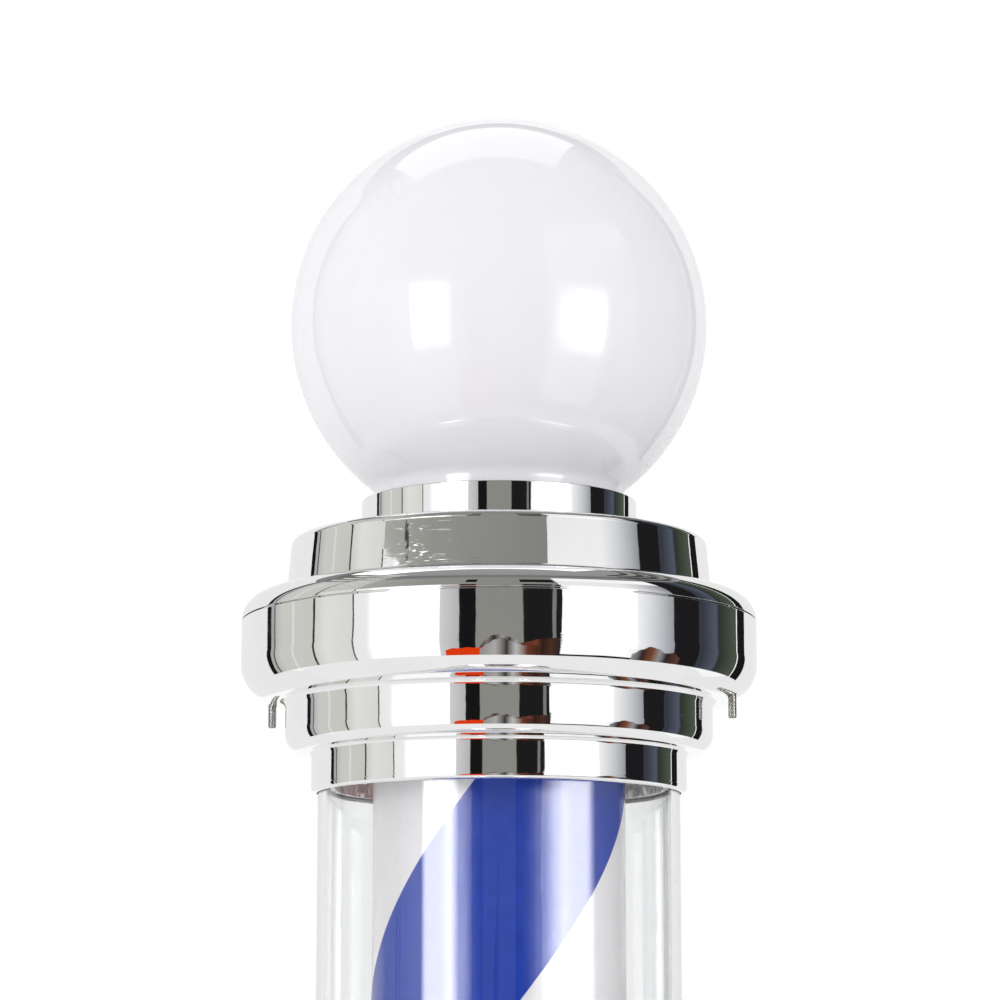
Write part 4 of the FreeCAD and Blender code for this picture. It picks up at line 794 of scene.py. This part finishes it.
def make_screw(name, box, way, head_r, head_h, shank_r, pitch):
    """A pan-head cross-recess screw that fills a CAD screw's box. way points from the tip to the head."""
    groove, longest_thread = 0.34, 14
    low, high = box
    way = Vector(way)
    length = abs((high - low).dot(way)) / MM
    tip = (low + high) / 2 - way * (length * MM / 2)
    turn = way.to_track_quat("Z", "Y").to_matrix().to_4x4()
    place = Matrix.Translation(tip) @ turn @ Matrix.Scale(MM, 4)
    seat = length - head_h
    vertices, faces = threaded(shank_r, groove * pitch, pitch, seat, min(seat, longest_thread))
    shank = link(name, [place @ Vector(v) for v in vertices], faces)
    edge = head_h * 0.45
    outline = Outline(0, seat).line(head_r, seat).line(head_r, length - edge)
    outline.arc(head_r - edge, length - edge, head_r - edge, length).line(0, length)
    head = turned("tool", outline, 0, 1, AROUND_SMALL, Vector((0, 0, 0)))
    head.data.transform(place @ Matrix.Scale(1 / MM, 4))
    recess = (head_r * 1.15, head_r * 0.26, head_h * 1.1)
    for quarter in (0, math.pi / 2):
        recess_place = place @ Matrix.Rotation(quarter, 4, "Z") @ Matrix.Translation((0, 0, length))
        combine(head, tool_block(recess, recess_place), "DIFFERENCE")
    join([shank, head])
    return shank


def make_screws():
    """The M3 lid screws, whose ends hang out of the caps in steel darkened as painted shade, and the M4 screws of
    the rail.
    """
    m3 = {"head_r": 2.75, "head_h": 1.8, "shank_r": 1.5, "pitch": 0.5}
    m4 = {"head_r": 3.5, "head_h": 2.0, "shank_r": 2.0, "pitch": 0.7}
    # Painted shade: the lid screws' threads get steel darker than the rail screws' steel, so that they don't look
    # white in the white studio.
    shaded_thread_steel = bright_metal("painted_shade_thread_steel", (0.4, 0.39, 0.37), 0.24)
    for number, box in enumerate(screw_boxes("lid_screws"), 1):
        way = (0, 0, 1) if box[0].z > 0 else (0, 0, -1)
        screw = make_screw(f"lid_screw_{number}", box, way, **m3)
        settle(screw, shaded_thread_steel, "pole", "fastener_steel", "lid_screws")
    for number, box in enumerate(screw_boxes("rail_screws"), 1):
        screw = make_screw(f"rail_screw_{number}", box, (0, -1, 0), **m4)
        settle(screw, LOOKS["fastener_steel"], "pole", "fastener_steel", "rail_screws")


# ---- Nodes that keep their CAD shape ------------------------------------------------------------
def finish_cad_nodes():
    """Every carried-over node gets its slot's look, and the sheet and moulded ones softened edges."""
    softened = {"wall_rail": 0.5, "upper_arm": 0.5, "lower_arm": 0.5, "light_switch_housing": 0.25,
                "spin_switch_housing": 0.25, "light_rocker": 0.35, "spin_rocker": 0.35, "cable_gland": 0.3,
                "top_plate": 0.2, "bottom_plate": 0.2}
    bevelled_from = math.radians(40)
    for node, piece in frame["nodes"].items():
        if not piece.material_slots:
            piece.data.materials.append(None)
        for material_slot in piece.material_slots:
            material_slot.material = LOOKS[SLOTS[node]]
        if node in softened:
            weld = piece.modifiers.new("weld", "WELD")
            weld.merge_threshold = SAME
            bevel = piece.modifiers.new("bevel", "BEVEL")
            bevel.width = softened[node] * MM
            bevel.segments = 3
            bevel.limit_method = "ANGLE"
            bevel.angle_limit = bevelled_from
            bevel.harden_normals = True


# ---- Studio -------------------------------------------------------------------------------------
# Reflections see curved cards round the pole and a white dome behind them. The cards stand for the
# room that a mirror finish shows: softboxes, pale walls, dark posts and a doorway. A card's place is
# a range of azimuths and one of elevations, in degrees. Its colours are stops from 0 to 1 across it.
LOW, WALL_TOP, PANEL_TOP = -56, 62, 18
WALLS, PANELS = (LOW, WALL_TOP), (LOW, PANEL_TOP)
CARD_DISTANCE, OVER_WALL = 3.0, 0.1
SOFTBOX_STRENGTH = 9.0
DOME_R = 9.0
STUDIO_CENTRE = Vector((AXIS.x, AXIS.y, UPPER_RIM + 0.05))


def direction(azimuth, elevation):
    """Azimuth 0 is towards the front, and 90 towards +X."""
    a, e = math.radians(azimuth), math.radians(elevation)
    return Vector((math.sin(a) * math.cos(e), -math.cos(a) * math.cos(e), math.sin(e)))


def mirrored(azimuth, elevation):
    """Like direction, but an upright edge below the horizon looks upright in the walls' lower curves.

    It is the way the front view is thrown by a wall that faces half as far round and leans half as far.
    """
    if elevation >= 0:
        return direction(azimuth, elevation)
    a, t = math.radians(azimuth / 2), math.radians(elevation / 2)
    share = math.cos(t) ** 2
    y = 1 - 2 * math.cos(a) ** 2 * share
    return Vector((math.sin(2 * a) * share, y, 2 * math.cos(a) * math.cos(t) * math.sin(t)))


def as_color(value):
    """A colour, which may be given as one level of gray."""
    return value if isinstance(value, tuple) else (value, value, value)


def even(color):
    """One colour all along."""
    return ((0, color),)


EVEN = even(1)


def glow(name, across, upwards, strength, clear=False):
    """Light whose colour is the product of one run of colours across a card and one up it.

    A clear one adds to what is behind it.
    """
    material = bpy.data.materials.new(name)
    material.use_nodes = True
    nodes, links = material.node_tree.nodes, material.node_tree.links
    nodes.clear()
    output = nodes.new("ShaderNodeOutputMaterial")
    emission = nodes.new("ShaderNodeEmission")
    emission.inputs["Strength"].default_value = strength
    if clear:
        both = nodes.new("ShaderNodeAddShader")
        links.new(nodes.new("ShaderNodeBsdfTransparent").outputs[0], both.inputs[0])
        links.new(emission.outputs[0], both.inputs[1])
        links.new(both.outputs[0], output.inputs["Surface"])
    else:
        links.new(emission.outputs[0], output.inputs["Surface"])
    split = nodes.new("ShaderNodeSeparateXYZ")
    links.new(nodes.new("ShaderNodeTexCoord").outputs["UV"], split.inputs[0])
    product = nodes.new("ShaderNodeVectorMath")
    product.operation = "MULTIPLY"
    links.new(product.outputs[0], emission.inputs["Color"])
    for index, (axis, stops) in enumerate((("X", across), ("Y", upwards))):
        ramp = nodes.new("ShaderNodeValToRGB")
        ramp.color_ramp.elements.remove(ramp.color_ramp.elements[1])
        for number, (place, color) in enumerate(stops):
            element = ramp.color_ramp.elements[0] if number == 0 else ramp.color_ramp.elements.new(place)
            element.position = place
            element.color = (*as_color(color), 1)
        links.new(split.outputs[axis], ramp.inputs["Fac"])
        links.new(ramp.outputs["Color"], product.inputs[index])
    return material


def sheet(name, points, columns, across, upwards, strength, lights):
    """A glowing sheet from rows of points, each row of the same number of columns."""
    rows = len(points) // columns
    faces = [(i * columns + k, i * columns + k + 1, (i + 1) * columns + k + 1, (i + 1) * columns + k)
             for i in range(rows - 1) for k in range(columns - 1)]
    mesh = bpy.data.meshes.new(name)
    mesh.from_pydata(points, [], faces)
    layer = mesh.uv_layers.new(name="across")
    for loop in mesh.loops:
        row, column = divmod(loop.vertex_index, columns)
        layer.data[loop.index].uv = (column / (columns - 1), row / (rows - 1))
    piece = place_mesh(name, mesh)
    piece.data.materials.append(glow(name, across, upwards, strength, clear=strength > SOFTBOX_STRENGTH / 2))
    piece.visible_camera = False
    piece.visible_shadow = False
    piece.visible_diffuse = lights
    piece.visible_glossy = not lights
    piece.visible_transmission = not lights


def card(name, azimuths, elevations, across, upwards=EVEN, strength=1.0, lights=False, nearer=0.0,
         aim=mirrored):
    """A curved card that only reflections see, or one that only lights."""
    column_width, row_height = 3, 4
    columns = max(2, int(abs(azimuths[1] - azimuths[0]) / column_width)) + 1
    rows = max(2, int(abs(elevations[1] - elevations[0]) / row_height)) + 1
    points = []
    for i in range(rows):
        elevation = elevations[0] + (elevations[1] - elevations[0]) * i / (rows - 1)
        for k in range(columns):
            azimuth = azimuths[0] + (azimuths[1] - azimuths[0]) * k / (columns - 1)
            points.append(STUDIO_CENTRE + aim(azimuth, elevation) * (CARD_DISTANCE - nearer))
    sheet(name, points, columns, across, upwards, strength, lights)


def ridge(name, azimuths, tops, across, nearer):
    """A card with an uneven upper edge, given by its elevations at equal steps along it."""
    columns, rows = 48, 8
    points = []
    for i in range(rows + 1):
        for k in range(columns):
            along = (len(tops) - 1) * k / (columns - 1)
            before = min(int(along), len(tops) - 2)
            ease = (1 - math.cos(math.pi * (along - before))) / 2
            top = tops[before] + (tops[before + 1] - tops[before]) * ease
            azimuth = azimuths[0] + (azimuths[1] - azimuths[0]) * k / (columns - 1)
            elevation = LOW + (top - LOW) * i / rows
            points.append(STUDIO_CENTRE + mirrored(azimuth, elevation) * (CARD_DISTANCE - nearer))
    sheet(name, points, columns, across, EVEN, 1.0, False)


def make_left_side():
    """From the back to the front."""
    card("post_far_left", (-122.5, -118.7), WALLS, even(0.008))
    card("strip_far_left", (-118.7, -116), WALLS, even(0.42))
    card("line_far_left", (-116, -115), WALLS, even(0.06))
    plaster = (0.62, 0.62, 0.59)
    card("wall_far_left", (-115, -87), WALLS,
         ((0, (0.5, 0.5, 0.48)), (0.2, plaster), (0.46, plaster), (0.5, (0.8, 0.8, 0.78)), (0.54, plaster),
          (1, (0.6, 0.6, 0.56))))
    card("corner_line_left", (-88, -86.8), WALLS, even(0.04), nearer=OVER_WALL)
    card("wall_left", (-87, -65), WALLS,
         ((0, (0.66, 0.66, 0.62)), (0.3, (0.78, 0.78, 0.75)), (1, (0.72, 0.72, 0.69))))
    card("edge_line_left", (-66, -65.2), PANELS, even(0.08), nearer=OVER_WALL)
    card("panel_left", (-65.5, -25), PANELS, ((0, 0.77), (0.16, 0.8), (0.22, 1), (1, 1)), strength=1.12)
    card("softbox_left", (-49, -25.5), (-21, 16), ((0, 0), (0.08, 1), (0.8, 1), (1, 0)),
         ((0, 0), (0.25, 1), (0.85, 1), (1, 0)), SOFTBOX_STRENGTH, nearer=OVER_WALL)
    card("reflector_left", (-25.5, -17), PANELS, ((0, (0.66, 0.66, 0.67)), (1, (0.48, 0.48, 0.5))))
    card("post_front_left", (-17, -9.8), PANELS, even(0.008))


def make_front():
    """The dark room ahead, between two posts, and the paler room above it."""
    card("room_front", (-9.8, 10.3), PANELS, even((0.265, 0.262, 0.243)))
    card("room_upper", (-86, 26), (PANEL_TOP, 44),
         ((0, (0.48, 0.48, 0.45)), (0.45, (0.3, 0.3, 0.28)), (1, (0.24, 0.24, 0.225))))
    card("block_left", (-15, -10), (26, 37), even(0.01), nearer=OVER_WALL)
    card("block_right", (9.5, 25), (26, 37), even(0.01), nearer=OVER_WALL)
    card("post_front_right", (10.3, 27), PANELS, even(0.012))
    card("line_front_right", (22.8, 24.4), PANELS, even(0.2), nearer=OVER_WALL)


def make_right_side():
    """From the front to the back."""
    card("panel_right", (26, 81.5), (LOW, 33),
         ((0, 1), (0.56, 1), (0.72, (0.76, 0.77, 0.79)), (0.9, (0.47, 0.48, 0.51)), (1, (0.3, 0.31, 0.34))),
         ((0, 1), (0.78, 1), (0.86, 0.8), (1, 0.8)), 1.08)
    card("softbox_right", (29, 62), (-24, 15), ((0, 0), (0.4, 1), (0.85, 1), (1, 0)),
         ((0, 0), (0.3, 1), (0.7, 1), (1, 0)), SOFTBOX_STRENGTH, nearer=OVER_WALL)
    dark, black = (0.012, 0.012, 0.013), (0.01, 0.01, 0.01)
    card("doorway_right", (81.5, 138), WALLS,
         ((0, dark), (0.27, dark), (0.29, (0.05, 0.055, 0.065)), (0.31, (0.035, 0.04, 0.055)),
          (0.5, (0.085, 0.1, 0.135)), (0.54, (0.03, 0.033, 0.033)), (0.6, (0.04, 0.052, 0.036)),
          (0.8, (0.075, 0.095, 0.07)), (0.82, black), (1, black)))
    card("gap_right", (128, 129.2), WALLS, even(0.95), nearer=OVER_WALL)


def make_table_edge():
    """Uneven dark, orange and brown things along the edge of a table, low in the reflections."""
    ridge("edge_dark", (2, 78), (-50, -49, -51, -50, -51, -52), even(0.012), nearer=0.1)
    ridge("edge_orange", (-23, -4), (-40, -35, -36, -33, -35, -34, -42), even((0.75, 0.045, 0.006)),
          nearer=0.16)
    ridge("edge_cloth", (-9, 26), (-37, -15, 0, 3, -4, -13, -20, -16, -10, -8, -6, -3),
          ((0, (0.02, 0.015, 0.012)), (0.12, (0.2, 0.17, 0.16)), (0.2, (0.03, 0.02, 0.02)),
           (0.3, (0.34, 0.33, 0.32)), (0.38, (0.03, 0.02, 0.018)), (0.46, (0.4, 0.4, 0.39)),
           (0.54, (0.12, 0.03, 0.02)), (0.7, (0.16, 0.05, 0.03)), (0.78, (0.03, 0.015, 0.01)),
           (0.9, (0.07, 0.03, 0.02)), (1, 0.02)), nearer=0.15)
    ridge("edge_fold", (-8, 17), (-38, -24, -12, -7, -15, -24, -28, -25, -29),
          ((0, (0.3, 0.29, 0.28)), (0.25, (0.42, 0.41, 0.4)), (0.45, (0.04, 0.03, 0.03)),
           (0.6, (0.5, 0.5, 0.49)), (0.8, (0.15, 0.04, 0.02)), (1, (0.05, 0.02, 0.015))), nearer=0.2)
    ridge("edge_brown_right", (60, 86), (-38, -24, -14, -18, -28, -24, -36),
          ((0, 0.3), (0.2, (0.03, 0.02, 0.02)), (0.4, (0.2, 0.07, 0.03)), (0.55, (0.3, 0.29, 0.3)),
           (0.7, (0.03, 0.02, 0.02)), (1, (0.12, 0.05, 0.03))), nearer=0.15)


def make_surround():
    """Behind, below and overhead, and a light from the left."""
    card("back_left", (-168, -122), (-40, WALL_TOP), even(0.86), nearer=-0.2, aim=direction)
    card("back_right", (137, 168), (-40, WALL_TOP), even(0.86), nearer=-0.2, aim=direction)
    card("underneath", (-180, 180), (-90, -35), even(0.88), nearer=-0.3, aim=direction)
    card("ceiling", (-180, 180), (44, 90), EVEN,
         ((0, 0.24), (0.1, 0.24), (0.2, 0.14), (0.32, 0.3), (1, 0.34)))
    height, left, right, front, back = 2.4, -0.53, 0.32, 0.03, 1.1
    corners = [STUDIO_CENTRE + Vector((x, y, 1)) * height for y in (front, back) for x in (left, right)]
    sheet("softbox_top", corners, 2, EVEN, EVEN, 1.5, False)
    card("fill_left", (-110, -10), (-60, 40), even((0.98, 0.98, 1.0)), strength=1.15, lights=True)


def make_world():
    """Even light from all round, a little under full white."""
    world = bpy.data.worlds.new("studio")
    world.use_nodes = True
    background = next(n for n in world.node_tree.nodes if n.type == "BACKGROUND")
    background.inputs["Color"].default_value = (0.99, 0.99, 1.0, 1)
    background.inputs["Strength"].default_value = 0.94
    bpy.context.scene.world = world


def make_floor():
    """A plain pale floor just under the pole's lowest point, which reflections see as the dome."""
    size, gap = 7.0, 0.03
    z = CAD_BOX[0].z - gap
    mesh = bpy.data.meshes.new("floor")
    corners = [(-size, -size, z), (size, -size, z), (size, size, z), (-size, size, z)]
    mesh.from_pydata(corners, [], [(0, 1, 2, 3)])
    floor = place_mesh("floor", mesh)
    look = Look("pale_floor", (0.9, 0.9, 0.9), 0.6)
    look.tint(look.noise(3, 3), (0.88, 0.88, 0.88), (0.92, 0.92, 0.92))
    floor.data.materials.append(look.material)
    floor.visible_glossy = False


def make_backdrop():
    """A white dome far behind everything, seen by the camera and in reflections."""
    bm = bmesh.new()
    bmesh.ops.create_icosphere(bm, subdivisions=5, radius=DOME_R, matrix=Matrix.Translation(STUDIO_CENTRE))
    dome = place_bmesh("backdrop", bm)
    dome.data.materials.append(glow("backdrop", EVEN, EVEN, 1.0))
    dome.visible_diffuse = False
    dome.visible_shadow = False


# ---- Camera -------------------------------------------------------------------------------------
def make_camera():
    """Below the upper cap's rim line and looking up at it."""
    distance, aside, below_rim, pitch, lens, shift = 1.152, 0.00036, 0.097, 9.314, 115.5, 0.04
    data = bpy.data.cameras.new("camera")
    data.sensor_width = 36
    data.lens = lens
    data.shift_y = shift
    camera = bpy.data.objects.new("camera", data)
    camera.location = (AXIS.x + aside, AXIS.y - distance, UPPER_RIM - below_rim)
    camera.rotation_euler = (math.radians(90 + pitch), 0, 0)
    bpy.context.scene.collection.objects.link(camera)
    bpy.context.scene.camera = camera


make_camera()
make_caps()
make_globe()
make_tube()
make_foil()
make_drum()
make_screws()
finish_cad_nodes()
make_left_side()
make_front()
make_right_side()
make_table_edge()
make_surround()
make_floor()
make_backdrop()
make_world()
bpy.context.scene.view_settings.view_transform = "Standard"
